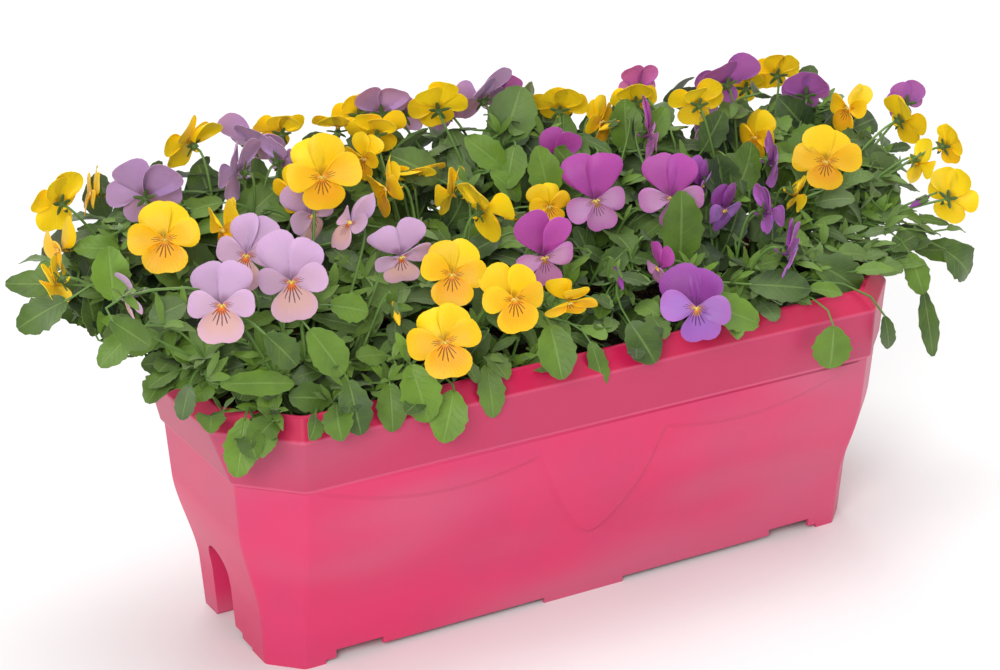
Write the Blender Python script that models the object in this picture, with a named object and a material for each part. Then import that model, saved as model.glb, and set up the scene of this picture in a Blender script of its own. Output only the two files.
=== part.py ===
"""A moulded window box, half a metre long, planted with violas.

The box is an eight-sided tapering trough with a collar, a sloping rim, feet and a slot in each
end. Soil fills it, six root balls sit in the soil, and a leafy plant stands on each root ball.
Every flower is a piece of its own, with a stalk that runs down to a plant.
Metres, +Z up, front towards -Y, standing on Z = 0.
"""

import math
import random

import bmesh
import bpy
from mathutils import Euler, Matrix, Vector
from mathutils.bvhtree import BVHTree
from mathutils.geometry import interpolate_bezier

MM = 0.001
GAP = 0.3 * MM

# The box's cross-section is a rectangle with its corners cut off: half length, half width, cut.
RIM_LINE = (250 * MM, 88.8 * MM, 42 * MM)
RIM_TOP = (241 * MM, 79.8 * MM, 37 * MM)
COLLAR_FOOT = (240.2 * MM, 87.6 * MM, 33 * MM)
BODY_TOP = (238.2 * MM, 85.6 * MM, 32 * MM)
BODY_FOOT = (219.4 * MM, 64.8 * MM, 18.6 * MM)
RIM_TOP_Z = 177 * MM
RIM_LINE_Z = 164.3 * MM
COLLAR_Z = 131.6 * MM
LIP = 1.5 * MM
WALL = 2.6 * MM
BODY_LEVELS = 14

# The floor stands above the feet, and six holes drain it.
FLOOR_UNDER = 10 * MM
FLOOR_TOP = 13 * MM
DRAIN_RADIUS = 4.5 * MM
DRAIN_X = (-150 * MM, 0, 150 * MM)
DRAIN_Y = (-32 * MM, 32 * MM)

# The skirt under the floor is cut up to these heights, in spans measured from the middle.
LONG_SIDE_CUTS = ((30 * MM, 148 * MM, 4 * MM), (147 * MM, 180 * MM, 8.5 * MM),
                  (179 * MM, 187 * MM, 2.8 * MM))
END_CUTS = ((0, 13 * MM, 6 * MM), (12.5 * MM, 27 * MM, 2 * MM))

# The slot in each end, for a bracket or a hand.
SLOT_Y = 11 * MM
SLOT_HALF = 14 * MM
SLOT_SPRING_Z = 43 * MM
SLOT_DEPTH = 16 * MM
ARCH_STEPS = 8

# The drapery in relief below the collar: two swags and a tail that hangs between them.
DRAPE_PROUD = 1.5 * MM
DRAPE_END = 207 * MM
DRAPE_PEAK = 47.5 * MM
DRAPE_PEAK_Z = 115.5 * MM
DRAPE_SAG = 14 * MM
TAIL_TIP_Z = 46 * MM

SOIL_TOP = 152 * MM
ROOT_TOP_RADIUS = 24 * MM
ROOT_FOOT_RADIUS = 17 * MM
ROOT_DEPTH = 58 * MM
CROWN_SIDES = 10
# Radius and height of the crown's rings above the soil.
CROWN_RINGS = ((25 * MM, 0), (24 * MM, 6 * MM), (21.5 * MM, 12 * MM), (17 * MM, 18 * MM),
               (10 * MM, 23 * MM))

# Where the six plants stand.
PLANTS = (("viola_plant_1", -196, 38), ("viola_plant_2", -175, -38), ("viola_plant_3", -75, -12),
          ("viola_plant_4", 30, 22), ("viola_plant_5", 125, -30), ("viola_plant_6", 196, 30))

# Flowers: colour, place of the throat in mm, turn from the front, lift, width in mm.
# A turn of 0 faces the front, and 90 faces the right-hand end.
FLOWERS = (
    ("yellow", -292, 70, 280, -165, 5, 36),
    ("yellow", -303, 38, 262, -105, -10, 36),
    ("lilac", -246, 45, 284, 165, 10, 42),
    ("yellow", -200, 85, 298, -150, 20, 36),
    ("yellow", -252, 0, 271, -25, 15, 40),
    ("lilac", -157, 80, 292, 130, 25, 36),
    ("lilac", -183, 50, 286, -140, 0, 34),
    ("yellow", -152, -5, 294, -15, 12, 42),
    ("yellow", -212, 5, 268, -85, 5, 34),
    ("lilac", -216, -36, 266, -50, 10, 38),
    ("lilac", -204, -70, 259, -30, 10, 40),
    ("lilac", -248, -70, 253, -25, 15, 40),
    ("lilac", -280, -10, 244, -95, -25, 32),
    ("lilac", -65, 85, 298, 160, 20, 36),
    ("yellow", -85, 52, 296, 150, 25, 34),
    ("yellow", -32, 70, 299, 160, 20, 34),
    ("lilac", 7, 85, 295, -170, 25, 38),
    ("yellow", -71, 28, 272, 150, 55, 34),
    ("yellow", -105, 0, 277, -100, -10, 34),
    ("lilac", -146, -32, 272, -90, 30, 32),
    ("lilac", -122, -48, 252, -15, -25, 36),
    ("yellow", -48, -20, 259, 100, 10, 38),
    ("yellow", -98, -68, 242, -30, 15, 38),
    ("yellow", -123, -105, 217, -30, 15, 40),
    ("yellow", -68, -90, 228, 0, 10, 38),
    ("magenta", -28, -58, 237, -10, -15, 42),
    ("yellow", -27, -86, 217, -15, -45, 32),
    ("magenta", 39, -10, 247, -25, 5, 42),
    ("yellow", 62, 75, 283, 155, 25, 36),
    ("purple", 196, 75, 280, 170, 20, 42),
    ("yellow", 250, 90, 275, 160, 20, 30),
    ("yellow", 156, 50, 278, 165, 15, 36),
    ("yellow", 125, 80, 276, 160, 15, 32),
    ("magenta", 110, 35, 267, 60, -10, 36),
    ("magenta", 84, -30, 247, -30, 5, 42),
    ("purple", 132, -20, 227, 20, -15, 30),
    ("purple", 148, -48, 232, 75, -5, 30),
    ("purple", 190, 5, 243, 60, -15, 34),
    ("yellow", 208, -28, 250, -25, 10, 40),
    ("purple", 256, 62, 266, 150, 10, 32),
    ("yellow", 275, 36, 259, -90, 10, 32),
    ("yellow", 305, 12, 252, 95, 0, 34),
    ("yellow", 301, -12, 228, 80, -40, 30),
    ("yellow", 304, -44, 212, 115, -10, 36),
    ("purple", 56, -102, 202, -30, 5, 42),
    ("purple", 144, -78, 213, 40, -20, 34),
)

PETAL_SHEET = 1.0 * MM
EYE_RISE = 1.0 * MM
STALK_HALF = 0.9 * MM
CROOK = 12 * MM
# Side bows that a stalk may take to pass what is in its way.
SWAYS = (0, 6 * MM, -6 * MM, 12 * MM, -12 * MM, 18 * MM, -18 * MM)
CALYX = ((1.6 * MM, 1.6 * MM), (2.6 * MM, 4.5 * MM), (1.2 * MM, 8 * MM))
# Petals: direction from straight up in degrees, and length as a share of the half width.
PETALS = ((-28, 1.0), (28, 1.0), (97, 0.9), (180, 0.98), (263, 0.9))
OUTLINE_POINTS = 20

# Leaves that set how far the foliage spreads: plant, tip in mm, blade length in mm.
SPREADING_LEAVES = (
    ("viola_plant_1", (-336, 62, 232), 46), ("viola_plant_2", (-262, -122, 172), 40),
    ("viola_plant_3", (-60, -126, 176), 42), ("viola_plant_6", (336, -24, 176), 46),
    ("viola_plant_5", (190, -124, 172), 42), ("viola_plant_4", (20, 126, 215), 42),
    ("viola_plant_6", (200, 124, 220), 42), ("viola_plant_1", (-190, 125, 222), 42),
    ("viola_plant_1", (-318, -40, 215), 44), ("viola_plant_6", (325, 60, 205), 44),
)
LEAVES_EACH = 14
LEAF_HALF_WIDTH = 13 * MM
LEAF_SHEET = 0.6 * MM
CLEARANCE = 0.8 * MM
SEED = 7


def material(name, colour, roughness):
    made = bpy.data.materials.new(name)
    made.use_nodes = True
    shader = made.node_tree.nodes["Principled BSDF"]
    shader.inputs["Base Color"].default_value = (*colour, 1)
    shader.inputs["Roughness"].default_value = roughness
    return made


def object_from(bm, name, finish=None):
    mesh = bpy.data.meshes.new(name)
    bm.to_mesh(mesh)
    bm.free()
    made = bpy.data.objects.new(name, mesh)
    bpy.context.collection.objects.link(made)
    if finish:
        mesh.materials.append(finish)
    return made


def loft(rings, cap_first=True, cap_last=True):
    """A bmesh skin through rings of points, closed at both ends unless told otherwise."""
    bm = bmesh.new()
    loops = []
    for ring in rings:
        verts = [bm.verts.new(point) for point in ring]
        pairs = zip(verts, verts[1:] + verts[:1])
        loops.append((verts, [bm.edges.new(pair) for pair in pairs]))
    for (_, lower), (_, upper) in zip(loops, loops[1:]):
        bmesh.ops.bridge_loops(bm, edges=lower + upper)
    if cap_first:
        bm.faces.new(loops[0][0])
    if cap_last:
        bm.faces.new(loops[-1][0])
    bmesh.ops.recalc_face_normals(bm, faces=bm.faces)
    return bm


def tool(made):
    made.hide_render = True
    made.display_type = "WIRE"
    return made


def boolean(target, other, operation):
    modifier = target.modifiers.new(operation.lower(), "BOOLEAN")
    modifier.object = other
    modifier.operation = operation


def block(name, low, high):
    bm = bmesh.new()
    size = [b - a for a, b in zip(low, high)]
    middle = [(a + b) / 2 for a, b in zip(low, high)]
    place = Matrix.Translation(middle) @ Matrix.Diagonal((*size, 1))
    bmesh.ops.create_cube(bm, size=1, matrix=place)
    return object_from(bm, name)


def cone(name, foot_radius, top_radius, centre, low, high, sides, finish=None):
    bm = bmesh.new()
    place = Matrix.Translation((centre[0], centre[1], (low + high) / 2))
    bmesh.ops.create_cone(bm, cap_ends=True, segments=sides, radius1=foot_radius,
                          radius2=top_radius, depth=high - low, matrix=place)
    return object_from(bm, name, finish)


# ---- the box ----------------------------------------------------------------------------------

def section(size, z, inset=0.0):
    """Eight corners of the cut-cornered rectangle, moved in by inset."""
    half_length, half_width, cut = size
    a = half_length - inset
    b = half_width - inset
    c = cut - inset * (2 - math.sqrt(2))
    return [Vector((sx * x, sy * y, z)) for sx, sy, x, y in (
        (1, -1, a - c, b), (1, -1, a, b - c), (1, 1, a, b - c), (1, 1, a - c, b),
        (-1, 1, a - c, b), (-1, 1, a, b - c), (-1, -1, a, b - c), (-1, -1, a - c, b))]


def smooth(x):
    x = min(1.0, max(0.0, x))
    return x * x * (3 - 2 * x)


def body_size(z):
    """The wall runs in from the collar to the foot in an S-curve on a steady taper."""
    down = 1 - z / COLLAR_Z
    share = 0.5 * down + 0.5 * smooth((down - 0.28) / 0.47)
    return [top + (foot - top) * share for top, foot in zip(BODY_TOP, BODY_FOOT)]


def body_rings(low, high, inset):
    heights = [low + (high - low) * i / BODY_LEVELS for i in range(BODY_LEVELS + 1)]
    return [section(body_size(z), z, inset) for z in heights]


def outer_form(name, proud=0.0):
    rings = body_rings(0, COLLAR_Z - LIP, -proud)
    rings += [section(COLLAR_FOOT, COLLAR_Z), section(RIM_LINE, RIM_LINE_Z),
              section(RIM_TOP, RIM_TOP_Z)]
    return object_from(loft(rings), name)


def inner_form(name, low, high, inset):
    return object_from(loft(body_rings(low, high, inset)), name)


def cavity(name):
    rings = body_rings(FLOOR_TOP, COLLAR_Z - LIP, WALL)
    rings += [section(RIM_LINE, RIM_LINE_Z - WALL, WALL),
              section(RIM_TOP, RIM_TOP_Z - WALL, WALL),
              section(RIM_TOP, RIM_TOP_Z + WALL, WALL)]
    return object_from(loft(rings), name)


def slot_block(name, side, grow):
    """The arched slot at one end, as a solid; grown, it is the housing behind the slot."""
    half = SLOT_HALF + grow
    arch = [(SLOT_Y + half * math.cos(math.pi * i / ARCH_STEPS),
             SLOT_SPRING_Z + half * math.sin(math.pi * i / ARCH_STEPS))
            for i in range(ARCH_STEPS + 1)]
    outline = [(SLOT_Y + half, -WALL)] + arch + [(SLOT_Y - half, -WALL)]
    inner_x = BODY_FOOT[0] - SLOT_DEPTH - grow
    outer_x = RIM_LINE[0] + WALL
    rings = [[Vector((side * x, y, z)) for y, z in outline] for x in (inner_x, outer_x)]
    return tool(object_from(loft(rings), name))


def drape_edge():
    """The lower edge of the drapery from left to right, in x and z."""
    def swag(share):
        x = DRAPE_END + (DRAPE_PEAK - DRAPE_END) * share
        straight = COLLAR_Z + (DRAPE_PEAK_Z - COLLAR_Z) * share
        return x, straight - DRAPE_SAG * 4 * share * (1 - share)

    def tail(share):
        height = DRAPE_PEAK_Z - TAIL_TIP_Z
        return DRAPE_PEAK * (1 - share) ** 0.6, DRAPE_PEAK_Z - height * share

    half = [swag(i / 10) for i in range(10)] + [tail(i / 8) for i in range(9)]
    mirrored = [(-x, z) for x, z in half[:-1]]
    return mirrored + half[::-1]


def drapery():
    """The relief on both long sides: a skin just proud of the wall, kept above the edge."""
    skin = object_from(loft(body_rings(TAIL_TIP_Z - WALL, COLLAR_Z - LIP / 2, -DRAPE_PROUD)),
                       "drape_skin")
    top = COLLAR_Z + WALL
    outline = [(-DRAPE_END, top)] + drape_edge() + [(DRAPE_END, top)]
    rings = [[Vector((x, y, z)) for x, z in outline] for y in (-RIM_LINE[1], RIM_LINE[1])]
    boolean(skin, tool(object_from(loft(rings), "drape_outline")), "INTERSECT")
    return tool(skin)


def cut_feet(box):
    reach = RIM_LINE[0] + WALL
    for i, (near, far, height) in enumerate(LONG_SIDE_CUTS):
        for side in (-1, 1):
            low, high = sorted((side * near, side * far))
            cutter = block(f"foot_cut_{i}_{side}", (low, -reach, -WALL), (high, reach, height))
            boolean(box, tool(cutter), "DIFFERENCE")
    for i, (near, far, height) in enumerate(END_CUTS):
        for side in (-1, 1):
            low, high = sorted((side * near, side * far))
            cutter = block(f"end_cut_{i}_{side}", (-reach, low, -WALL), (reach, high, height))
            boolean(box, tool(cutter), "DIFFERENCE")


def window_box(finish):
    box = outer_form("window_box")
    box.data.materials.append(finish)
    boolean(box, drapery(), "UNION")
    housings = [slot_block(f"slot_housing_{side}", side, WALL) for side in (-1, 1)]
    inside = cavity("trough_inside")
    under = inner_form("foot_hollow", -WALL, FLOOR_UNDER, WALL)
    for hollow in (inside, under):
        for housing in housings:
            boolean(hollow, housing, "DIFFERENCE")
        boolean(box, tool(hollow), "DIFFERENCE")
    for side in (-1, 1):
        boolean(box, slot_block(f"end_slot_{side}", side, 0), "DIFFERENCE")
    for x in DRAIN_X:
        for y in DRAIN_Y:
            drain = cone(f"drain_{x:.2f}_{y:.3f}", DRAIN_RADIUS, DRAIN_RADIUS, (x, y),
                         FLOOR_UNDER - WALL, FLOOR_TOP + WALL, 12)
            boolean(box, tool(drain), "DIFFERENCE")
    cut_feet(box)
    return box


# ---- soil and root balls ----------------------------------------------------------------------

def potting_soil(finish):
    levels = body_rings(FLOOR_TOP + GAP, COLLAR_Z - LIP, WALL + GAP)
    fill = (SOIL_TOP - COLLAR_Z) / (RIM_LINE_Z - COLLAR_Z)
    top = [a + (b - a) * fill for a, b in zip(BODY_TOP, RIM_LINE)]
    soil = object_from(loft(levels + [section(top, SOIL_TOP, WALL + 2 * GAP)]),
                       "potting_soil", finish)
    for side in (-1, 1):
        boolean(soil, slot_block(f"soil_slot_{side}", side, WALL + GAP), "DIFFERENCE")
    return soil


def root_ball(soil, name, centre, finish):
    low = SOIL_TOP - ROOT_DEPTH
    pocket = cone(f"{name}_pocket", ROOT_FOOT_RADIUS + GAP, ROOT_TOP_RADIUS + GAP, centre,
                  low - GAP, SOIL_TOP + GAP, 16)
    boolean(soil, tool(pocket), "DIFFERENCE")
    return cone(name, ROOT_FOOT_RADIUS, ROOT_TOP_RADIUS, centre, low, SOIL_TOP, 16, finish)


# ---- plants -----------------------------------------------------------------------------------

class Crown:
    """The base of one plant: a low dome of short stems, whose faces carry leaves and stalks."""

    def __init__(self, name, x, y):
        self.name = name
        self.centre = Vector((x * MM, y * MM, SOIL_TOP + GAP))
        sides = [2 * math.pi * i / CROWN_SIDES for i in range(CROWN_SIDES)]
        rings = [[self.centre + Vector((radius * math.cos(a), radius * math.sin(a), height))
                  for a in sides] for radius, height in CROWN_RINGS]
        self.bm = loft(rings)
        self.free = [f for f in self.bm.faces if len(f.verts) == 4]
        self.parts = [BVHTree.FromBMesh(self.bm)]
        self.growth = list(self.parts)

    def take_face(self, target):
        """The unused face that points best at the target."""
        def aim(face):
            middle = face.calc_center_median()
            return face.normal.dot((target - middle).normalized())
        best = max(self.free, key=aim)
        self.free.remove(best)
        return best


def cross_section(centre, along, half_width, half_thick, up=Vector((0, 0, 1))):
    """Four points round a centre: right, top, left, bottom."""
    side = along.cross(up)
    if side.length < 1e-4:
        side = along.cross(Vector((0, 1, 0)))
    side.normalize()
    top = side.cross(along).normalized()
    return [centre + side * half_width, centre + top * half_thick,
            centre - side * half_width, centre - top * half_thick]


def leaf_rings(root, normal, tip, length, grow=0.0):
    """Rings of a leaf from the crown to its tip: a thin stalk, then a blade that droops."""
    flat = Vector((tip.x - root.x, tip.y - root.y, 0))
    outward = flat.normalized()
    blade_dir = (outward + Vector((0, 0, -0.35))).normalized()
    base = tip - blade_dir * length
    reach = (base - root).length
    pull = base + (Vector((0, 0, 0.2)) - outward).normalized() * reach * 0.35
    rise = (normal * 0.4 + Vector((0, 0, 1))).normalized()
    path = interpolate_bezier(root, root + rise * reach * 0.4, pull, base, 6)
    half = 1.1 * MM + grow
    rings = [cross_section(root, normal, half, half),
             cross_section(root + normal * MM, normal, half, half)]
    for before, here, after in zip(path[:4], path[1:5], path[2:]):
        rings.append(cross_section(here, (after - before).normalized(), half, half))
    for share, width in ((0.14, 0.62), (0.42, 1.0), (0.72, 0.8), (1.0, 0.12)):
        sag = Vector((0, 0, 0.06 * length * math.sin(math.pi * share)))
        wide = LEAF_HALF_WIDTH * width * length / (45 * MM) + grow
        rings.append(cross_section(base + blade_dir * length * share + sag, blade_dir, wide,
                                   LEAF_SHEET + grow))
    return rings


def tree_of(rings):
    bm = loft(rings)
    bmesh.ops.triangulate(bm, faces=bm.faces)
    tree = BVHTree.FromBMesh(bm)
    bm.free()
    return tree


def touches(rings, trees):
    probe = tree_of(rings)
    return any(probe.overlap(tree) for tree in trees)


def crosses_itself(bm):
    """Whether any faces that share no corner pass through each other."""
    bm.faces.index_update()
    tree = BVHTree.FromBMesh(bm)
    corners = [set(face.verts) for face in bm.faces]
    return any(not corners[a] & corners[b] for a, b in tree.overlap(tree))


def grow_from(bm, face, rings):
    """Extrudes one face of the crown along the rings. A face runs round the other way from a ring."""
    for ring in rings:
        corners = [v.co.copy() for v in face.verts]
        middle = sum(corners, Vector()) / 4
        target = sum(ring, Vector()) / 4
        order = ring[::-1]

        def twist(shift):
            turned = order[shift:] + order[:shift]
            return sum(((p - target).normalized() - (c - middle).normalized()).length
                       for p, c in zip(turned, corners))

        shift = min(range(4), key=twist)
        turned = order[shift:] + order[:shift]
        face = bmesh.ops.extrude_discrete_faces(bm, faces=[face])["faces"][0]
        for vert, point in zip(face.verts, turned):
            vert.co = point
        face.normal_update()


def leaf_tips(crown, chance):
    """Tips all round the plant, low and long first, then higher and shorter."""
    for i in range(LEAVES_EACH * 4):
        angle = i * math.radians(137.5) + chance.uniform(-0.2, 0.2)
        tier = i % 3
        far = (96, 76, 52)[tier] * MM * chance.uniform(0.85, 1.1)
        height = (36, 72, 112)[tier] * MM * chance.uniform(0.85, 1.12)
        tip = crown.centre + Vector((far * math.cos(angle), far * math.sin(angle), height))
        tip.x = max(-320 * MM, min(320 * MM, tip.x))
        tip.y = max(-116 * MM, min(116 * MM, tip.y))
        yield tip, chance.uniform(38, 46) * MM


def add_leaf(crown, tip, length, others):
    """Grows one leaf where it stays clear of everything else, and says whether it did."""
    face = crown.take_face(tip)
    root = face.calc_center_median()
    rings = leaf_rings(root, face.normal, tip, length, CLEARANCE)
    if touches(rings, others) or touches(rings[1:], crown.growth):
        crown.free.append(face)
        return False
    slim = leaf_rings(root, face.normal, tip, length)
    grow_from(crown.bm, face, slim)
    crown.growth.append(tree_of(slim[1:]))
    crown.parts.append(tree_of(slim))
    return True


def fill_with_leaves(crown, others, seed):
    chance = random.Random(seed)
    for tip, length in leaf_tips(crown, chance):
        if len(crown.growth) > LEAVES_EACH or not crown.free:
            return
        add_leaf(crown, tip, length, others)


# ---- flowers ----------------------------------------------------------------------------------

def petal_reach(angle):
    """How far the petals reach in a direction, as a share of the half width."""
    reach = 0.5
    for direction, length in PETALS:
        off = abs((angle - direction + 180) % 360 - 180)
        if off < 52:
            reach = max(reach, length * math.cos(math.radians(1.7 * off)) ** 0.5)
    return reach


def flower_frame(place, turn, lift):
    """Local Z is the way the flower faces, local Y is up."""
    face = Euler((math.radians(90 - lift), 0, math.radians(turn))).to_matrix()
    return Matrix.Translation(place) @ face.to_4x4()


def petal_ring(frame, width, lift):
    ring = []
    for i in range(OUTLINE_POINTS):
        angle = 360 * i / OUTLINE_POINTS
        reach = petal_reach(angle)
        radius = reach * width / 2
        back = -0.1 * width * reach ** 2
        ring.append(frame @ Vector((radius * math.sin(math.radians(angle)),
                                    radius * math.cos(math.radians(angle)), back + lift)))
    return ring


def flower_rings(frame, width, foot, normal, sway, grow=0.0):
    """Rings from the foot of the stalk, up over its crook, to the front of the petals."""
    facing = (frame.to_3x3() @ Vector((0, 0, 1))).normalized()
    up = (frame.to_3x3() @ Vector((0, 1, 0))).normalized()
    throat = frame.translation
    neck = throat - facing * (CALYX[-1][1] + 1 * MM)
    start = foot + normal * (GAP + grow)
    reach = (neck - start).length
    side = Vector((-normal.y, normal.x, 0)) * sway
    rise = start + (normal * 0.7 + Vector((0, 0, 0.8))) * reach * 0.35 + side
    crook = neck - facing * CROOK - Vector((0, 0, 0.2)) * reach + side / 2
    path = interpolate_bezier(start, rise, crook, neck, 7)
    half = STALK_HALF + grow
    rings = [cross_section(path[0], normal, half, half, up)]
    for before, here, after in zip(path, path[1:], path[2:]):
        rings.append(cross_section(here, (after - before).normalized(), half, half, up))
    for radius, behind in reversed(CALYX):
        rings.append(cross_section(throat - facing * behind, facing, radius + grow,
                                   radius + grow, up))
    rings.append(petal_ring(frame, width + 2 * grow, -PETAL_SHEET / 2 - grow))
    rings.append(petal_ring(frame, width + 2 * grow, PETAL_SHEET / 2 + grow))
    return rings


def flower_body(frame, width, foot, normal, sway, grow=0.0):
    """A whole flower, with the front of its petals crowned at the eye."""
    bm = loft(flower_rings(frame, width, foot, normal, sway, grow))
    front = max(bm.faces, key=lambda f: len(f.verts))
    eye = bmesh.ops.poke(bm, faces=[front])["verts"][0]
    eye.co = frame @ Vector((0, 0, EYE_RISE + grow))
    bmesh.ops.triangulate(bm, faces=bm.faces)
    return bm


def flower(name, finish, place, turn, lift, width, crowns, taken, flowers):
    frame = flower_frame(place, turn, lift)
    crown = min(crowns, key=lambda c: (c.centre - place).length)
    face = crown.take_face(place)
    foot = face.calc_center_median()
    for sway in SWAYS:
        probe = flower_body(frame, width, foot, face.normal, sway, CLEARANCE)
        tree = BVHTree.FromBMesh(probe)
        probe.free()
        bm = flower_body(frame, width, foot, face.normal, sway)
        if not crosses_itself(bm) and not any(tree.overlap(other) for other in taken):
            break
        bm.free()
    else:
        raise RuntimeError(f"no clear way for the stalk of {name}")
    flowers.append(BVHTree.FromBMesh(bm))
    return object_from(bm, name, finish)


def main():
    for old in list(bpy.data.objects):
        bpy.data.objects.remove(old, do_unlink=True)
    plastic = material("pink_plastic", (0.78, 0.06, 0.16), 0.35)
    earth = material("soil", (0.03, 0.02, 0.012), 0.95)
    roots = material("root_ball", (0.12, 0.08, 0.04), 0.95)
    leaf = material("viola_leaf", (0.09, 0.2, 0.04), 0.55)
    petals = {"yellow": material("yellow_petal", (0.9, 0.55, 0.01), 0.6),
              "lilac": material("lilac_petal", (0.45, 0.25, 0.55), 0.6),
              "magenta": material("magenta_petal", (0.4, 0.05, 0.4), 0.6),
              "purple": material("purple_petal", (0.3, 0.06, 0.45), 0.6)}

    box = window_box(plastic)
    soil = potting_soil(earth)
    crowns = [Crown(*plant) for plant in PLANTS]
    for number, crown in enumerate(crowns, 1):
        root_ball(soil, f"root_ball_{number}", crown.centre, roots)

    walls = [BVHTree.FromObject(box, bpy.context.evaluated_depsgraph_get())]
    flowers = []

    def around(crown):
        return walls + flowers + [tree for c in crowns if c is not crown for tree in c.parts]

    by_name = {crown.name: crown for crown in crowns}
    for name, tip, length in SPREADING_LEAVES:
        if not add_leaf(by_name[name], Vector(tip) * MM, length * MM, around(by_name[name])):
            raise RuntimeError(f"no clear way for the spreading leaf of {name} to {tip}")
    count = {}
    for colour, x, y, z, turn, lift, width in FLOWERS:
        count[colour] = count.get(colour, 0) + 1
        flower(f"{colour}_viola_{count[colour]:02d}", petals[colour], Vector((x, y, z)) * MM,
               turn, lift, width * MM, crowns, around(None), flowers)
    for number, crown in enumerate(crowns):
        fill_with_leaves(crown, around(crown), SEED + number)
        object_from(crown.bm, crown.name, leaf)


main()
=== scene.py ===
import math
import random

import bmesh
import bpy
from mathutils import Euler, Matrix, Vector, noise
from mathutils.geometry import interpolate_bezier


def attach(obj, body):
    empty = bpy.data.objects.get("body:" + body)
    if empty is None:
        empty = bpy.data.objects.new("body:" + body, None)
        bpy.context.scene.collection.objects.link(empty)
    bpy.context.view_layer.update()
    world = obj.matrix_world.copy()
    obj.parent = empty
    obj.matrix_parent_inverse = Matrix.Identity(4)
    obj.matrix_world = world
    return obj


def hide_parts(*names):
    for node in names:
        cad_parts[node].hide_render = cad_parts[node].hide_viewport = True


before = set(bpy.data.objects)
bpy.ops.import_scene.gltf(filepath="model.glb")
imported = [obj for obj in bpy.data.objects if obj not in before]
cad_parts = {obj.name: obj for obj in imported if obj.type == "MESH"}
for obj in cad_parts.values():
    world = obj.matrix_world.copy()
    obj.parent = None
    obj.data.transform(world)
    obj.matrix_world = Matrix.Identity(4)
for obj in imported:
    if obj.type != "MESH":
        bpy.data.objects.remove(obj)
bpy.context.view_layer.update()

MM = 0.001

# ---- the box: half length, half width and corner cut of its eight-sided section -----------------
RIM_LINE = (250 * MM, 88.8 * MM, 42 * MM)
RIM_TOP = (241 * MM, 79.8 * MM, 37 * MM)
COLLAR_FOOT = (240.2 * MM, 87.6 * MM, 33 * MM)
BODY_TOP = (238.2 * MM, 85.6 * MM, 32 * MM)
BODY_FOOT = (219.4 * MM, 64.8 * MM, 18.6 * MM)
RIM_TOP_Z = 177 * MM
RIM_LINE_Z = 164.3 * MM
COLLAR_Z = 131.6 * MM
LIP = 2.4 * MM
WALL = 2.6 * MM
FLOOR_UNDER = 10 * MM
FLOOR_TOP = 13 * MM
WALL_LEVELS = 80
FLAT_TURN = math.radians(3)
UPRIGHT_ROUNDING = 1.8 * MM
INSIDE_ROUNDING = 3 * MM
LIP_ROUND = 0.8 * MM
WALL_COLUMNS = 230
SIDE_CORNER_BAND = 157 * MM     # tells a corner on a long side from one on an end
DRAIN_RADIUS = 4.5 * MM
DRAIN_PLACES = [(x * MM, y * MM) for x in (-150, 0, 150) for y in (-32, 32)]

# Cut-outs of the foot, in mm: where each starts and ends out from the middle, and its height.
LONG_SIDE_CUTS = ((30, 148, 4), (147, 180, 8.5), (179, 187, 2.8))
END_CUTS = ((0, 13, 6), (12.5, 27, 2))

SLOT_Y = 11 * MM
SLOT_HALF = 14 * MM
SLOT_SPRING_Z = 43 * MM
SLOT_DEPTH = 16 * MM

# The drapery: it falls in a curve from a peak to a tail in the middle, and sags to each end.
DRAPE_PROUD = 1.9 * MM
DRAPE_SOFT = 2.4 * MM
DRAPE_END = 207 * MM
DRAPE_PEAK = 47.5 * MM
DRAPE_PEAK_Z = 115.5 * MM
DRAPE_SAG = 14 * MM
TAIL_TIP_Z = 46 * MM
TAIL_CURVE = 0.6

SOIL_TOP = 152 * MM
SOIL_GRAIN = 8 * MM
SOIL_CRUMBS = 420
SOIL_SEED = 31
CRUMB_REACH = (228, 72)       # in mm, along and across
CRUMB_CORNER = 262 * MM       # crumbs stop where |x| + |y| is this, at the cut corners

# ---- the plants ---------------------------------------------------------------------------------

# The middle of each plant's crown, in mm.
PLANTS = ((-196, 38), (-175, -38), (-75, -12), (30, 22), (125, -30), (196, 30))

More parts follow.
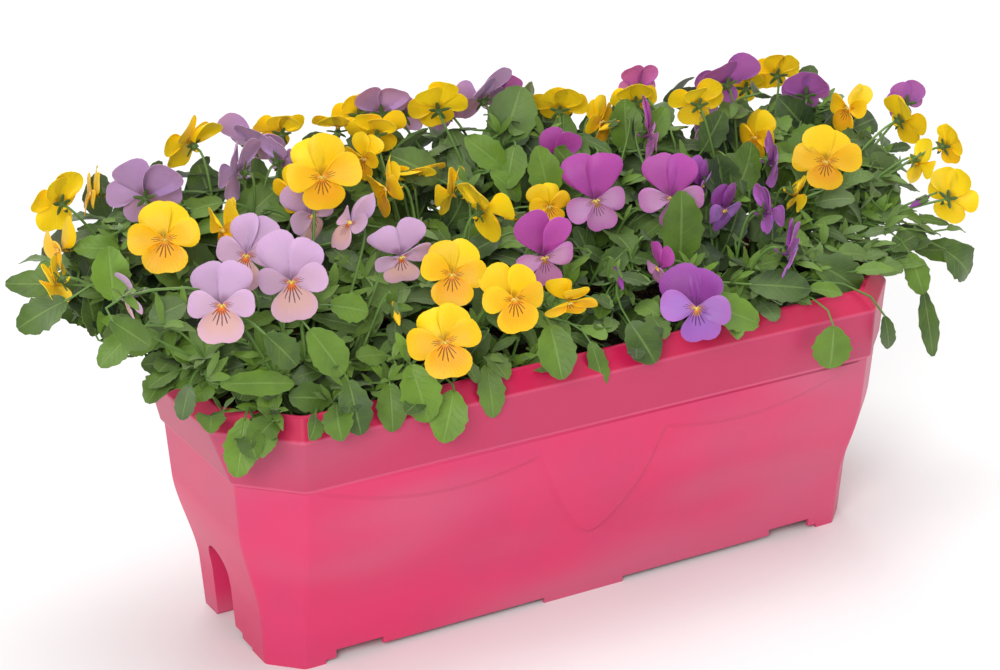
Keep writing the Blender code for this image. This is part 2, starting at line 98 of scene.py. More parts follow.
# Flowers: colour, place of the throat in mm, turn from the front, lift, width in mm.
# A turn of 0 faces the front, and 90 faces the right-hand end.
FLOWERS = (
    ("yellow", -292, 70, 280, -165, 5, 36),
    ("yellow", -303, 38, 262, -105, -10, 36),
    ("lilac", -246, 45, 284, 165, 10, 42),
    ("yellow", -200, 85, 298, -150, 20, 36),
    ("yellow", -252, 0, 271, -25, 15, 40),
    ("lilac", -157, 80, 292, 130, 25, 36),
    ("lilac", -183, 50, 286, -140, 0, 34),
    ("yellow", -152, -5, 294, -15, 12, 42),
    ("yellow", -212, 5, 268, -85, 5, 34),
    ("lilac", -216, -36, 266, -50, 10, 38),
    ("lilac", -204, -70, 259, -30, 10, 40),
    ("lilac", -248, -70, 253, -25, 15, 40),
    ("lilac", -280, -10, 244, -95, -25, 32),
    ("lilac", -65, 85, 298, 160, 20, 36),
    ("yellow", -85, 52, 296, 150, 25, 34),
    ("yellow", -32, 70, 299, 160, 20, 34),
    ("lilac", 7, 85, 295, -170, 25, 38),
    ("yellow", -71, 28, 272, 150, 55, 34),
    ("yellow", -105, 0, 277, -100, -10, 34),
    ("lilac", -146, -32, 272, -90, 30, 32),
    ("lilac", -122, -48, 252, -15, -25, 36),
    ("yellow", -48, -20, 259, 100, 10, 38),
    ("yellow", -98, -68, 242, -30, 15, 38),
    ("yellow", -123, -105, 217, -30, 15, 40),
    ("yellow", -68, -90, 228, 0, 10, 38),
    ("magenta", -28, -58, 237, -10, -15, 42),
    ("yellow", -27, -86, 217, -15, -45, 32),
    ("magenta", 39, -10, 247, -25, 5, 42),
    ("yellow", 62, 75, 283, 155, 25, 36),
    ("purple", 196, 75, 280, 170, 20, 42),
    ("yellow", 250, 90, 275, 160, 20, 30),
    ("yellow", 156, 50, 278, 165, 15, 36),
    ("yellow", 125, 80, 276, 160, 15, 32),
    ("magenta", 110, 35, 267, 60, -10, 36),
    ("magenta", 84, -30, 247, -30, 5, 42),
    ("purple", 132, -20, 227, 20, -15, 30),
    ("purple", 148, -48, 232, 75, -5, 30),
    ("purple", 190, 5, 243, 60, -15, 34),
    ("purple", 256, 62, 266, 150, 10, 32),
    ("yellow", 208, -28, 250, -25, 10, 40),
    ("yellow", 275, 36, 259, -90, 10, 32),
    ("yellow", 305, 12, 252, 95, 0, 34),
    ("yellow", 301, -12, 228, 80, -40, 30),
    ("yellow", 304, -44, 212, 115, -10, 36),
    ("purple", 56, -102, 202, -30, 5, 42),
    ("purple", 144, -78, 213, 40, -20, 34),
)

# More flowers, smaller and half hidden among the leaves.
SMALL_FLOWERS = (
    ("yellow", -267, 75, 280, -110, 5, 28),
    ("lilac", -149, 55, 287, 110, 10, 28),
    ("yellow", -137, 85, 296, 170, 25, 30),
    ("yellow", -159, 20, 279, -60, 0, 28),
    ("lilac", -152, 10, 265, 20, 0, 34),
    ("yellow", -101, 75, 296, 150, 50, 30),
    ("yellow", -80, 90, 297, 170, 10, 28),
    ("yellow", -100, 40, 284, -60, -10, 26),
    ("lilac", -42, 92, 291, 120, 10, 26),
    ("lilac", -14, 95, 286, -170, 10, 26),
    ("magenta", 29, 95, 291, 160, 10, 26),
    ("yellow", -55, 10, 262, -140, 0, 30),
    ("yellow", 92, 70, 269, 20, 0, 30),
    ("magenta", 33, 30, 262, -20, -10, 32),
    ("yellow", 10, 0, 245, -10, 0, 26),
    ("yellow", 228, 95, 267, 150, 15, 28),
    ("magenta", 134, 90, 281, 170, 10, 30),
    ("purple", 128, 0, 239, 30, -10, 30),
    ("yellow", 199, 40, 249, -80, 5, 32),
    ("yellow", 198, -10, 223, 60, -35, 26),
    ("purple", 319, 30, 258, 150, 0, 26),
    ("yellow", 322, -16, 239, 95, 0, 26),
    ("magenta", 49, -70, 219, -100, -20, 24),
    ("lilac", 168, 60, 257, -150, 0, 24),
    ("yellow", -316, 16, 250, -120, -30, 28),
)

# Buds: colour, place in mm and lift.
BUDS = (
    ("purple", -290, 20, 241, -40), ("yellow", -133, -60, 226, -50), ("purple", 17, -70, 223, -60),
    ("yellow", 98, 60, 270, -20), ("lilac", -230, 60, 282, -35), ("yellow", 232, 20, 246, -30),
    ("purple", 285, -40, 214, -25), ("yellow", -20, -20, 250, -10),
)

CROOK = 12 * MM       # length of the bend that brings a stalk into the calyx
CALYX_DEPTH = 8 * MM
SEPAL_FOOT = 5.2 * MM
STALK_STEPS = 14
FULL_BLOOM = 1.15     # the petals reach a little past the width given for a flower
LEAF_ROWS = 12
LOBE_ROWS = 2.6
STEMS_EACH = 9
STEM_FRONT = -64 * MM
STEM_BACK = 100 * MM
FOLIAGE_REACH = (325 * MM, 122 * MM)
FOLIAGE_FRONT = -100 * MM
END_ZONE = 225 * MM
# painted shade: leaves deep in the foliage get darker tints
SHADED_DEPTH = 16 * MM  # layers of leaves that start this deep are darker
SHORT_FRONT = -45 * MM
SHORT_END = 250 * MM
TUFT_FRONT = -35 * MM
TUFT_DEPTH = 40 * MM
LEAF_LENGTHS = (24, 40)       # in mm
BACKING_LEAVES = 330
BACKING_X = (-292, 300)       # in mm
BACKING_Y = (-10, 106)
SKIRT_LEAVES = 60

# The top of the foliage: its height at the front, its rise to the back, and its falls at the
# rear edge and at the ends, each with where it starts and the distance that it takes.
FRONT_HEIGHT = 176 * MM
BACK_RISE, RISE_FROM, RISE_OVER = 106 * MM, -125 * MM, 215 * MM
REAR_FALL, REAR_FROM, REAR_OVER = 75 * MM, 85 * MM, 42 * MM
LEFT_FALL, RIGHT_FALL, ENDS_FROM, ENDS_OVER = 34 * MM, 40 * MM, 215 * MM, 125 * MM

# Leaves that stand clear of the rest: foot and tip in mm, and width as a share of length.
CHOSEN_LEAVES = (
    ((-240, -78, 184), (-252, -90, 154), 0.58),
    ((-266, -60, 204), (-275, -66, 185), 0.55),
    ((-176, -84, 196), (-178, -104, 170), 0.6),
    ((-147, -80, 186), (-155, -100, 166), 0.62),
    ((-136, -86, 198), (-134, -108, 168), 0.66),
    ((-110, -92, 178), (-126, -108, 155), 0.7),
    ((-81, -80, 184), (-86, -100, 158), 0.5),
    ((-40, -86, 204), (-44, -108, 178), 0.7),
    ((-7, -80, 184), (-6, -99, 160), 0.42),
    ((20, -82, 192), (28, -104, 172), 0.75),
    ((164, -102, 167), (157, -112, 141), 0.9),
    ((211, -95, 162), (215, -102, 137), 0.42),
    ((265, -68, 160), (266, -84, 117), 0.3),
    ((287, -30, 173), (334, -40, 168), 0.35),
    ((300, -45, 176), (326, -60, 156), 0.7),
    ((258, -60, 186), (262, -74, 160), 0.6),
    ((-298, 30, 241), (-337, 42, 247), 0.42),
    ((-315, 0, 245), (-348, 0, 236), 0.6),
    ((15, 70, 262), (37, 80, 300), 0.72),
    ((1, 40, 259), (-22, 45, 284), 0.6),
    ((-19, 50, 256), (-27, 55, 288), 0.5),
    ((85, -40, 206), (82, -47, 254), 0.56),
    ((178, -60, 195), (214, -77, 173), 0.62),
    ((116, -74, 196), (156, -90, 192), 0.5),
    ((67, -90, 200), (107, -102, 181), 0.5),
    ((-175, -60, 235), (-153, -72, 232), 0.7),
    ((-58, 20, 268), (-86, 25, 291), 0.62),
    ((-190, 70, 253), (-196, 76, 287), 0.66),
    ((-180, 40, 261), (-153, 45, 278), 0.62),
    ((-273, 20, 262), (-299, 20, 270), 0.55),
    ((-290, -10, 244), (-291, -10, 276), 0.7),
    ((267, 20, 201), (298, 20, 224), 0.62),
    ((107, 60, 246), (109, 66, 283), 0.62),
    ((40, 30, 252), (54, 30, 277), 0.7),
    ((17, 10, 245), (9, 10, 281), 0.6),
    ((54, 20, 242), (32, 25, 273), 0.6),
    ((167, 60, 247), (196, 65, 263), 0.6),
    ((262, 0, 186), (292, 0, 215), 0.66),
    ((-196, -75, 229), (-180, -92, 202), 0.62),
    ((-226, -80, 234), (-208, -90, 213), 0.62),
    ((-280, -40, 240), (-259, -46, 251), 0.66),
    ((-311, -60, 253), (-291, -69, 236), 0.6),
    ((-296, -50, 238), (-318, -56, 226), 0.62),
    ((-253, -75, 207), (-207, -86, 204), 0.32),
)


# ---- camera, light and floor --------------------------------------------------------------------

def link(obj):
    bpy.context.scene.collection.objects.link(obj)
    return obj


CAMERA_PLACE = (-0.7737, -1.3003, 0.7861)
CAMERA_DOWN = 22.54       # degrees below level
CAMERA_TURN = -29.91      # degrees from facing straight to the back
CAMERA_LENS = 90.9        # in mm, for a sensor 36 mm wide
LIGHT_AIM = (0, 0, 0.15)

# Soft lights: name, place, size and watts.
LIGHTS = (
    ("key_light", (-1.9, -2.05, 1.75), (1.5, 1.1), 59),
    ("side_fill", (2.0, -1.5, 1.2), (1.6, 1.2), 9),
    ("top_light", (0.2, 0.4, 2.4), (2.0, 1.2), 28),
    ("back_light", (0.6, 2.2, 1.5), (1.6, 1.0), 18),
)


def camera():
    data = bpy.data.cameras.new("camera")
    data.sensor_width = 36
    data.lens = CAMERA_LENS
    data.clip_end = 50
    cam = link(bpy.data.objects.new("camera", data))
    cam.location = CAMERA_PLACE
    cam.rotation_euler = (math.radians(90 - CAMERA_DOWN), 0, math.radians(CAMERA_TURN))
    bpy.context.scene.camera = cam


def softbox(name, place, size, watts):
    data = bpy.data.lights.new(name, "AREA")
    data.shape = "RECTANGLE"
    data.size, data.size_y = size
    data.energy = watts
    lamp = link(bpy.data.objects.new(name, data))
    lamp.location = place
    lamp.rotation_euler = (Vector(LIGHT_AIM) - Vector(place)).to_track_quat("-Z", "Y").to_euler()


def studio():
    scene = bpy.context.scene
    scene.view_settings.view_transform = "Standard"
    world = bpy.data.worlds.new("studio")
    scene.world = world
    world.use_nodes = True
    ground = world.node_tree.nodes["Background"]
    ground.inputs["Color"].default_value = (1, 1, 1, 1)
    ground.inputs["Strength"].default_value = 0.5
    for light in LIGHTS:
        softbox(*light)
    bm = bmesh.new()
    bmesh.ops.create_grid(bm, x_segments=1, y_segments=1, size=6)
    piece_from(bm, "studio_floor", [floor_finish()])


# ---- wiring of materials ------------------------------------------------------------------------

def tone(red, green, blue):
    """A colour given in 0-255 screen values, as the linear values that a shader takes."""
    def linear(value):
        value /= 255
        return value / 12.92 if value <= 0.04045 else ((value + 0.055) / 1.055) ** 2.4
    return (linear(red), linear(green), linear(blue), 1)


class Signal:
    """A value that changes over a surface. Arithmetic on it adds Math nodes."""

    def __init__(self, wires, socket):
        self.wires = wires
        self.socket = socket

    def __add__(self, other):
        return self.wires.math("ADD", self, other)

    def __radd__(self, other):
        return self.wires.math("ADD", other, self)

    def __sub__(self, other):
        return self.wires.math("SUBTRACT", self, other)

    def __rsub__(self, other):
        return self.wires.math("SUBTRACT", other, self)

    def __mul__(self, other):
        return self.wires.math("MULTIPLY", self, other)

    def __truediv__(self, other):
        return self.wires.math("DIVIDE", self, other)

    def __abs__(self):
        return self.wires.math("ABSOLUTE", self)

    def folds(self, each=1):
        """Runs from 0 up to 1 and back, so many times for each whole number."""
        return abs(self.wires.math("SINE", self * (each * math.pi)))


class Wiring:
    """Shorthand for adding and joining the nodes of one material or group."""

    def __init__(self, tree):
        self.tree = tree

    def add(self, kind, **settings):
        made = self.tree.nodes.new(kind)
        for name, value in settings.items():
            setattr(made, name, value)
        return made

    def join(self, value, socket):
        if isinstance(value, Signal):
            value = value.socket
        if isinstance(value, bpy.types.NodeSocket):
            self.tree.links.new(value, socket)
        else:
            socket.default_value = value

    def math(self, operation, *values):
        made = self.add("ShaderNodeMath", operation=operation)
        for value, socket in zip(values, made.inputs):
            self.join(value, socket)
        return Signal(self, made.outputs[0])

    def step(self, value, low, high):
        """0 below low, 1 above high, smooth between; low may be above high."""
        made = self.add("ShaderNodeMapRange", interpolation_type="SMOOTHSTEP")
        self.join(value, made.inputs["Value"])
        made.inputs["From Min"].default_value = min(low, high)
        made.inputs["From Max"].default_value = max(low, high)
        rising = Signal(self, made.outputs[0])
        return rising if low < high else 1 - rising

    def mix(self, share, first, second, mode="MIX"):
        made = self.add("ShaderNodeMix", data_type="RGBA", blend_type=mode)
        for value, socket in ((share, "Factor"), (first, 6), (second, 7)):
            self.join(value, made.inputs[socket])
        return Signal(self, made.outputs[2])

    def place(self):
        return self.add("ShaderNodeTexCoord").outputs["Object"]

    def noise(self, scale, detail, stretch=None):
        made = self.add("ShaderNodeTexNoise")
        made.inputs["Scale"].default_value = scale
        made.inputs["Detail"].default_value = detail
        where = self.place()
        if stretch:
            mapping = self.add("ShaderNodeMapping")
            mapping.inputs["Scale"].default_value = stretch
            self.join(where, mapping.inputs["Vector"])
            where = mapping.outputs[0]
        self.join(where, made.inputs["Vector"])
        return Signal(self, made.outputs[0])

    def facts(self, *names):
        """Values kept on the mesh's own points."""
        return [Signal(self, self.add("ShaderNodeAttribute", attribute_name=name).outputs["Fac"])
                for name in names]

    def bump(self, height, strength, distance):
        made = self.add("ShaderNodeBump")
        made.inputs["Strength"].default_value = strength
        made.inputs["Distance"].default_value = distance
        self.join(height, made.inputs["Height"])
        return made.outputs[0]

    def group(self, tree, **values):
        made = self.add("ShaderNodeGroup", node_tree=tree)
        for name, value in values.items():
            self.join(value, made.inputs[name])
        return made.outputs


def group_tree(name, takes, gives):
    """An empty shader group with its sockets, and its wiring."""
    tree = bpy.data.node_groups.new(name, "ShaderNodeTree")
    for side, sockets in (("INPUT", takes), ("OUTPUT", gives)):
        for socket, kind in sockets.items():
            tree.interface.new_socket(name=socket, in_out=side, socket_type=f"NodeSocket{kind}")
    wires = Wiring(tree)
    return tree, wires, wires.add("NodeGroupInput").outputs, wires.add("NodeGroupOutput").inputs


def finish(name, **settings):
    """A material with one shader, its plain values set on the shader itself."""
    made = bpy.data.materials.new(name)
    made.use_nodes = True
    shader = made.node_tree.nodes["Principled BSDF"]
    for socket, value in settings.items():
        shader.inputs[socket.replace("_", " ")].default_value = value
    return made, Wiring(made.node_tree), shader.inputs


def dress(wires, takes, colour, height, strength, distance):
    """Gives a shader its colour, and its relief from a height."""
    wires.join(colour, takes["Base Color"])
    wires.join(wires.bump(height, strength, distance), takes["Normal"])


# ---- finishes -----------------------------------------------------------------------------------

UPPER, SIDE, LOWEST = range(3)        # kinds of petal

# Colours of a petal's parts, flower by flower.
PETAL_PARTS = ("Upper", "Side", "Lowest", "Eye", "Line", "Edge", "Back")
PETAL_TONES = {
    "yellow": ((249, 198, 4), (245, 180, 4), (241, 163, 6), (243, 150, 0), (104, 44, 4),
               (251, 204, 12), (252, 212, 26)),
    "lilac": ((182, 148, 182), (190, 154, 180), (206, 160, 156), (232, 112, 10), (88, 34, 52),
              (200, 160, 202), (180, 146, 200)),
    "magenta": ((166, 62, 154), (198, 144, 190), (178, 118, 166), (190, 130, 50), (84, 24, 66),
                (180, 78, 168), (186, 110, 180)),
    "purple": ((136, 50, 142), (162, 112, 188), (154, 96, 184), (232, 150, 30), (66, 12, 80),
               (164, 90, 178), (172, 100, 182)),
}


def mottle_group():
    """Slow light and dark patches, a little finer grain in them, round a colour."""
    tree, wires, takes, gives = group_tree(
        "mottle", {"Colour": "Color", "Dark": "Color", "Amount": "Float"},
        {"Colour": "Color", "Grain": "Float"})
    patch = wires.step(wires.noise(18, 3), 0.35, 0.7) * takes["Amount"]
    wires.join(wires.mix(patch, takes["Colour"], takes["Dark"]), gives["Colour"])
    wires.join(wires.noise(420, 2), gives["Grain"])
    return tree


def petal_group():
    """Colours of one petal: its kind sets the ground colour, and lines run out of the eye.

    Along runs from 0 at the throat to 1 at the edge, and across from -1 to 1. The kind is
    UPPER, SIDE or LOWEST, and under is 1 on the petal's back.
    """
    tree, wires, takes, gives = group_tree(
        "petal_pattern", {part: "Color" for part in PETAL_PARTS},
        {"Colour": "Color", "Ridges": "Float"})
    along, across, kind, under, tint = wires.facts("along", "across", "kind", "under", "tint")
    side = wires.step(kind, SIDE - 0.6, SIDE - 0.4)
    low = wires.step(kind, LOWEST - 0.6, LOWEST - 0.4)
    front = 1 - under
    ground = wires.mix(low, wires.mix(side, takes["Upper"], takes["Side"]), takes["Lowest"])
    ground = wires.mix(wires.step(along, 0.55, 1.0) * 0.45, ground, takes["Edge"])
    # the backs: partly the petals' own paler colour, partly a painted glow of light shining through
    # them
    ground = wires.mix(under * 0.7, ground, takes["Back"])
    # fine ridges that fan out along the whole petal
    ridges = (across * 9 + wires.noise(90, 1) * 1.3).folds()
    veins = wires.step(ridges, 0.28, 0) * wires.step(along, 1, 0.2)
    ground = wires.mix(veins * 0.09, ground, takes["Line"])
    # a dark throat on the two upper petals
    throat = (1 - side) * wires.step(along, 0.3, 0.05)
    ground = wires.mix(throat * 0.55, ground, takes["Line"])
    # the eye and its lines, on the two side petals and longest on the lowest one
    eye = (low + side * 0.5) * wires.step(along, 0.25, 0.08)
    ground = wires.mix(eye * front, ground, takes["Eye"])
    reach = 0.34 + low * 0.2 - abs(across) * 0.22
    rays = (across + wires.noise(160, 1) * 0.06).folds(3.5)
    ray = (wires.math("LESS_THAN", rays, 0.9 - along / reach * 0.6)
           * wires.math("LESS_THAN", along, reach))
    ray = ray * side * wires.step(along, 0.04, 0.13) * front
    ground = wires.mix(ray * 0.9, ground, takes["Line"])
    bright = 0.88 + tint * 0.24
    shade = wires.add("ShaderNodeCombineColor")
    for socket in shade.inputs[:3]:
        wires.join(bright, socket)
    wires.join(wires.mix(1, ground, shade.outputs[0], "MULTIPLY"), gives["Colour"])
    wires.join(ridges, gives["Ridges"])
    return tree


def petal_finish(name, pattern, tones):
    made, wires, takes = finish(
        name, Subsurface_Weight=0.4, Subsurface_Radius=(1.0, 0.8, 0.6),
        Subsurface_Scale=1.5 * MM, Sheen_Weight=0.06, Sheen_Roughness=0.4,
        Specular_IOR_Level=0.35)
    look = wires.group(pattern, **{part: tone(*rgb) for part, rgb in zip(PETAL_PARTS, tones)})
    dress(wires, takes, look["Colour"], look["Ridges"], 0.16, 0.4 * MM)
    return made


def leaf_finish(name, dark, light, pale, vein):
    """A leaf: light midrib and side veins, a paler underside, cells between the veins."""
    made, wires, takes = finish(name, Sheen_Weight=0.12, Specular_IOR_Level=0.42)
    along, across, tint, under = wires.facts("along", "across", "tint", "under")
    across = abs(across)
    patch = wires.step(wires.noise(60, 3), 0.3, 0.7)
    # painted sheen: pale grey-green patches over some leaves stand for a soft grey sheen
    bloom = wires.step(wires.noise(16, 1), 0.5, 0.72)
    ground = wires.mix(tint * 0.75 + patch * 0.25, dark, light)
    ground = wires.mix(bloom * 0.4, ground, pale)
    ground = wires.mix(under * 0.6, ground, pale)
    wave = (along * 7 - across * 1.9 + wires.noise(120, 1) * 0.5).folds()
    side_vein = wires.step(wave, 0.22, 0.02) * wires.step(across, 0.95, 0.5)
    midrib = wires.step(across, 0.1, 0.03)
    veins = wires.math("MAXIMUM", side_vein * 0.15, midrib * 0.3)
    flesh = 1 - wires.math("MAXIMUM", side_vein, midrib)
    dress(wires, takes, wires.mix(veins, ground, vein), flesh + wires.noise(700, 2) * 0.5,
          0.5, 0.6 * MM)
    wires.join(0.42 + wires.noise(200, 2) * 0.2, takes["Roughness"])
    return made


def stem_finish(name, mottle, colour, dark):
    made, wires, takes = finish(name, Specular_IOR_Level=0.4)
    look = wires.group(mottle, Colour=colour, Dark=dark, Amount=0.8)
    dress(wires, takes, look["Colour"], look["Grain"], 0.3, 0.3 * MM)
    return made


def earth_finish(name, light, dark, scale):
    """Moist potting mix: dark, with paler fibres and specks."""
    made, wires, takes = finish(name, Roughness=0.95, Specular_IOR_Level=0.2)
    lump = wires.noise(scale, 6)
    fibre = wires.step(wires.noise(scale * 2.5, 2, (0.15, 1, 1)), 0.6, 0.7)
    speck = wires.step(wires.noise(scale * 6, 1), 0.66, 0.72)
    ground = wires.mix(wires.step(lump, 0.35, 0.7), dark, light)
    ground = wires.mix(fibre * 0.5, ground, tone(128, 98, 62))
    ground = wires.mix(speck * 0.7, ground, tone(190, 175, 150))
    dress(wires, takes, ground, lump, 0.8, 2 * MM)
    return made


def plastic_finish(name, mottle):
    """Moulded plastic: even satin colour, the faintest orange peel, handling marks that vary its
    gloss, and pale patches of painted reflection.

    The collar is painted darker and the sloping rim a deeper pink, as shade, and thin pale lines
    along the rim's edge and the collar's edge are painted highlights.
    """
    made, wires, takes = finish(name, Specular_IOR_Level=0.36, Subsurface_Weight=0.06,
                                Subsurface_Scale=4 * MM)
    look = wires.group(mottle, Colour=tone(214, 52, 102), Dark=tone(202, 58, 104), Amount=0.7)
    smudge_and_sheen = wires.noise(6, 2, (0.45, 0.45, 1.5))
    # painted reflection: pale greyish patches stand for hazy reflections; the same noise also
    # varies the gloss further down
    ground = wires.mix(wires.step(smudge_and_sheen, 0.42, 0.6) * 0.75, look["Colour"], tone(196, 96, 124))
    apart = wires.add("ShaderNodeSeparateXYZ")
    wires.join(wires.place(), apart.inputs[0])
    height = Signal(wires, apart.outputs["Z"])
    # painted shade: the band above the collar's edge is darker, and the sloping rim above the rim's
    # edge a deeper pink still
    for edge, share, shade_tone in ((COLLAR_Z, 0.55, tone(170, 52, 86)),
                                (RIM_LINE_Z, 0.85, tone(196, 18, 72))):
        above = wires.step(height, edge - 0.5 * MM, edge + 0.5 * MM)
        ground = wires.mix(above * share, ground, shade_tone)
    # painted highlights: thin pale lines along the collar's edge and the rim's edge
    for edge in (COLLAR_Z, RIM_LINE_Z):
        edge_highlight = wires.step(abs(height - edge), 1.4 * MM, 0.4 * MM)
        ground = wires.mix(edge_highlight * 0.3, ground, tone(232, 112, 146))
    dress(wires, takes, ground, look["Grain"], 0.06, 0.3 * MM)
    wires.join(0.36 + wires.step(smudge_and_sheen, 0.3, 0.75) * 0.14, takes["Roughness"])
    return made


def floor_finish():
    made, wires, takes = finish("studio_floor", Roughness=0.9, Specular_IOR_Level=0.1)
    share = wires.step(wires.noise(0.6, 1), 0.2, 0.8)
    wires.join(wires.mix(share, (0.86, 0.86, 0.86, 1), (0.88, 0.88, 0.88, 1)),
               takes["Base Color"])
    return made


def all_finishes():
    mottle = mottle_group()
    petal = petal_group()
    made = {"plastic": plastic_finish("pink_plastic", mottle),
            "leaf": leaf_finish("viola_leaf", tone(30, 54, 18), tone(104, 140, 34),
                                tone(118, 140, 92), tone(142, 170, 92)),
            "soil": earth_finish("potting_soil", tone(74, 54, 38), tone(30, 21, 15), 220),
            "roots": earth_finish("root_ball", tone(120, 92, 62), tone(56, 40, 27), 160)}
    for colour, tones in PETAL_TONES.items():
        made[colour] = petal_finish(f"{colour}_petal", petal, tones)
    for part, name, colour, dark in (
            ("stem", "green_stem", (104, 138, 64), (70, 104, 42)),
            ("sepal", "sepal", (92, 118, 58), (60, 84, 42)),
            ("eye", "stigma", (214, 214, 90), (190, 180, 50)),
            ("beard", "beard", (250, 214, 120), (240, 190, 80))):
        made[part] = stem_finish(name, mottle, tone(*colour), tone(*dark))
    return made


# ---- meshes -------------------------------------------------------------------------------------

def piece_from(bm, name, finishes, crease=50):
    """Makes the object, smooth but for edges sharper than crease degrees."""
    sharp = math.radians(crease)
    for face in bm.faces:
        face.smooth = True
    for edge in bm.edges:
        edge.smooth = len(edge.link_faces) != 2 or edge.calc_face_angle() < sharp
    mesh = bpy.data.meshes.new(name)
    bm.to_mesh(mesh)
    bm.free()
    for made in finishes:
        mesh.materials.append(made)
    return link(bpy.data.objects.new(name, mesh))


def once_each(items):
    """The items without repeats, in the order they come."""
    return list(dict.fromkeys(items))


def cutter(bm):
    """A form for carve to cut away."""
    return piece_from(bm, "cutter", [])


def reopened(obj):
    """The object's mesh as a bmesh again; the object goes."""
    bm = bmesh.new()
    bm.from_mesh(obj.data)
    bpy.data.objects.remove(obj)
    return bm


def riding(obj, slot, *nodes):
    """Puts a piece on the one body, in place of the nodes it stands for."""
    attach(obj, "root")
    if nodes:
        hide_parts(*nodes)


def loft(rings):
    """A closed bmesh skin through rings of points."""
    bm = bmesh.new()
    loops = []
    for ring in rings:
        verts = [bm.verts.new(point) for point in ring]
        pairs = zip(verts, verts[1:] + verts[:1])
        loops.append((verts, [bm.edges.new(pair) for pair in pairs]))
    for (_, lower), (_, upper) in zip(loops, loops[1:]):
        bmesh.ops.bridge_loops(bm, edges=lower + upper)
    bm.faces.new(loops[0][0])
    bm.faces.new(loops[-1][0])
    bmesh.ops.recalc_face_normals(bm, faces=bm.faces)
    return bm


# ---- the box ------------------------------------------------------------------------------------

def smooth(x):
    x = min(1.0, max(0.0, x))
    return x * x * (3 - 2 * x)


def section(size, z, inset=0.0):
    """The eight corners of the box's outline at a height, moved in by the inset."""
    half_length, half_width, cut = size
    a = half_length - inset
    b = half_width - inset
    c = cut - inset * (2 - math.sqrt(2))
    return [Vector((sx * x, sy * y, z)) for sx, sy, x, y in (
        (1, -1, a - c, b), (1, -1, a, b - c), (1, 1, a, b - c), (1, 1, a - c, b),
        (-1, 1, a - c, b), (-1, 1, a, b - c), (-1, -1, a, b - c), (-1, -1, a - c, b))]


def body_size(z):
    """The body's section at a height: it tapers in an S curve to the foot."""
    down = 1 - z / COLLAR_Z
    share = 0.5 * down + 0.5 * smooth((down - 0.28) / 0.47)
    return [top + (foot - top) * share for top, foot in zip(BODY_TOP, BODY_FOOT)]


def body_rings(low, high, inset, levels):
    """Sections of the body at even steps of height."""
    heights = [low + (high - low) * i / levels for i in range(levels + 1)]
    return [section(body_size(z), z, inset) for z in heights]


def corner_of(point):
    """Which of the eight upright corners a point belongs to."""
    return (point.x > 0, point.y > 0, abs(point.x) - abs(point.y) < SIDE_CORNER_BAND)


def soften(bm, rounds, corner):
    """Rounds chosen level edges, each by its own width, then the eight upright corners."""
    for height, width in rounds:
        ring = [e for e in bm.edges if all(abs(v.co.z - height) < 1e-6 for v in e.verts)
                and corner_of(e.verts[0].co) != corner_of(e.verts[1].co)]
        bmesh.ops.bevel(bm, geom=ring, offset=width, segments=3, profile=0.5,
                        affect="EDGES", material=-1)
    upright = [e for e in bm.edges if corner_of(e.verts[0].co) == corner_of(e.verts[1].co)]
    bmesh.ops.bevel(bm, geom=upright, offset=corner, segments=4, profile=0.5,
                    affect="EDGES", material=-1)
    return bm


def block(low, high):
    bm = bmesh.new()
    size = [b - a for a, b in zip(low, high)]
    middle = [(a + b) / 2 for a, b in zip(low, high)]
    bmesh.ops.create_cube(bm, size=1, matrix=Matrix.Translation(middle)
                          @ Matrix.Diagonal((*size, 1)))
    return cutter(bm)


def slot_block(side, grow, low=-WALL):
    """The arched slot of one end as a solid; grown, it is the housing behind the slot."""
    half = SLOT_HALF + grow
    steps = 16
    arch = [(SLOT_Y + half * math.cos(math.pi * i / steps),
             SLOT_SPRING_Z + half * math.sin(math.pi * i / steps)) for i in range(steps + 1)]
    outline = [(SLOT_Y + half, low)] + arch + [(SLOT_Y - half, low)]
    inner_x = BODY_FOOT[0] - SLOT_DEPTH - grow
    outer_x = RIM_LINE[0] + WALL
    return cutter(loft([[Vector((side * x, y, z)) for y, z in outline]
                        for x in (inner_x, outer_x)]))


def carve(target, cutters):
    """Cuts the cutters from the target in turn, for good, and removes them."""
    for form in cutters:
        cut = target.modifiers.new("cut", "BOOLEAN")
        cut.operation = "DIFFERENCE"
        cut.solver = "EXACT"
        cut.object = form
    seen = target.evaluated_get(bpy.context.evaluated_depsgraph_get())
    mesh = bpy.data.meshes.new_from_object(seen)
    target.modifiers.clear()
    target.data = mesh
    for form in cutters:
        bpy.data.objects.remove(form)
    return target


def foot_cutters():
    """Blocks right across the box, the same to both sides of its middle."""
    reach = RIM_LINE[0] + WALL
    made = []
    for axis, cuts in enumerate((LONG_SIDE_CUTS, END_CUTS)):
        for near, far, height in cuts:
            for side in (-1, 1):
                low, high = [-reach, -reach, -WALL], [reach, reach, height * MM]
                low[axis], high[axis] = sorted((side * near * MM, side * far * MM))
                made.append(block(low, high))
    return made


def drain_cutters():
    made = []
    for x, y in DRAIN_PLACES:
        bm = bmesh.new()
        bmesh.ops.create_cone(bm, cap_ends=True, segments=24, radius1=DRAIN_RADIUS,
                              radius2=DRAIN_RADIUS, depth=4 * WALL,
                              matrix=Matrix.Translation((x, y, FLOOR_TOP)))
        made.append(cutter(bm))
    return made


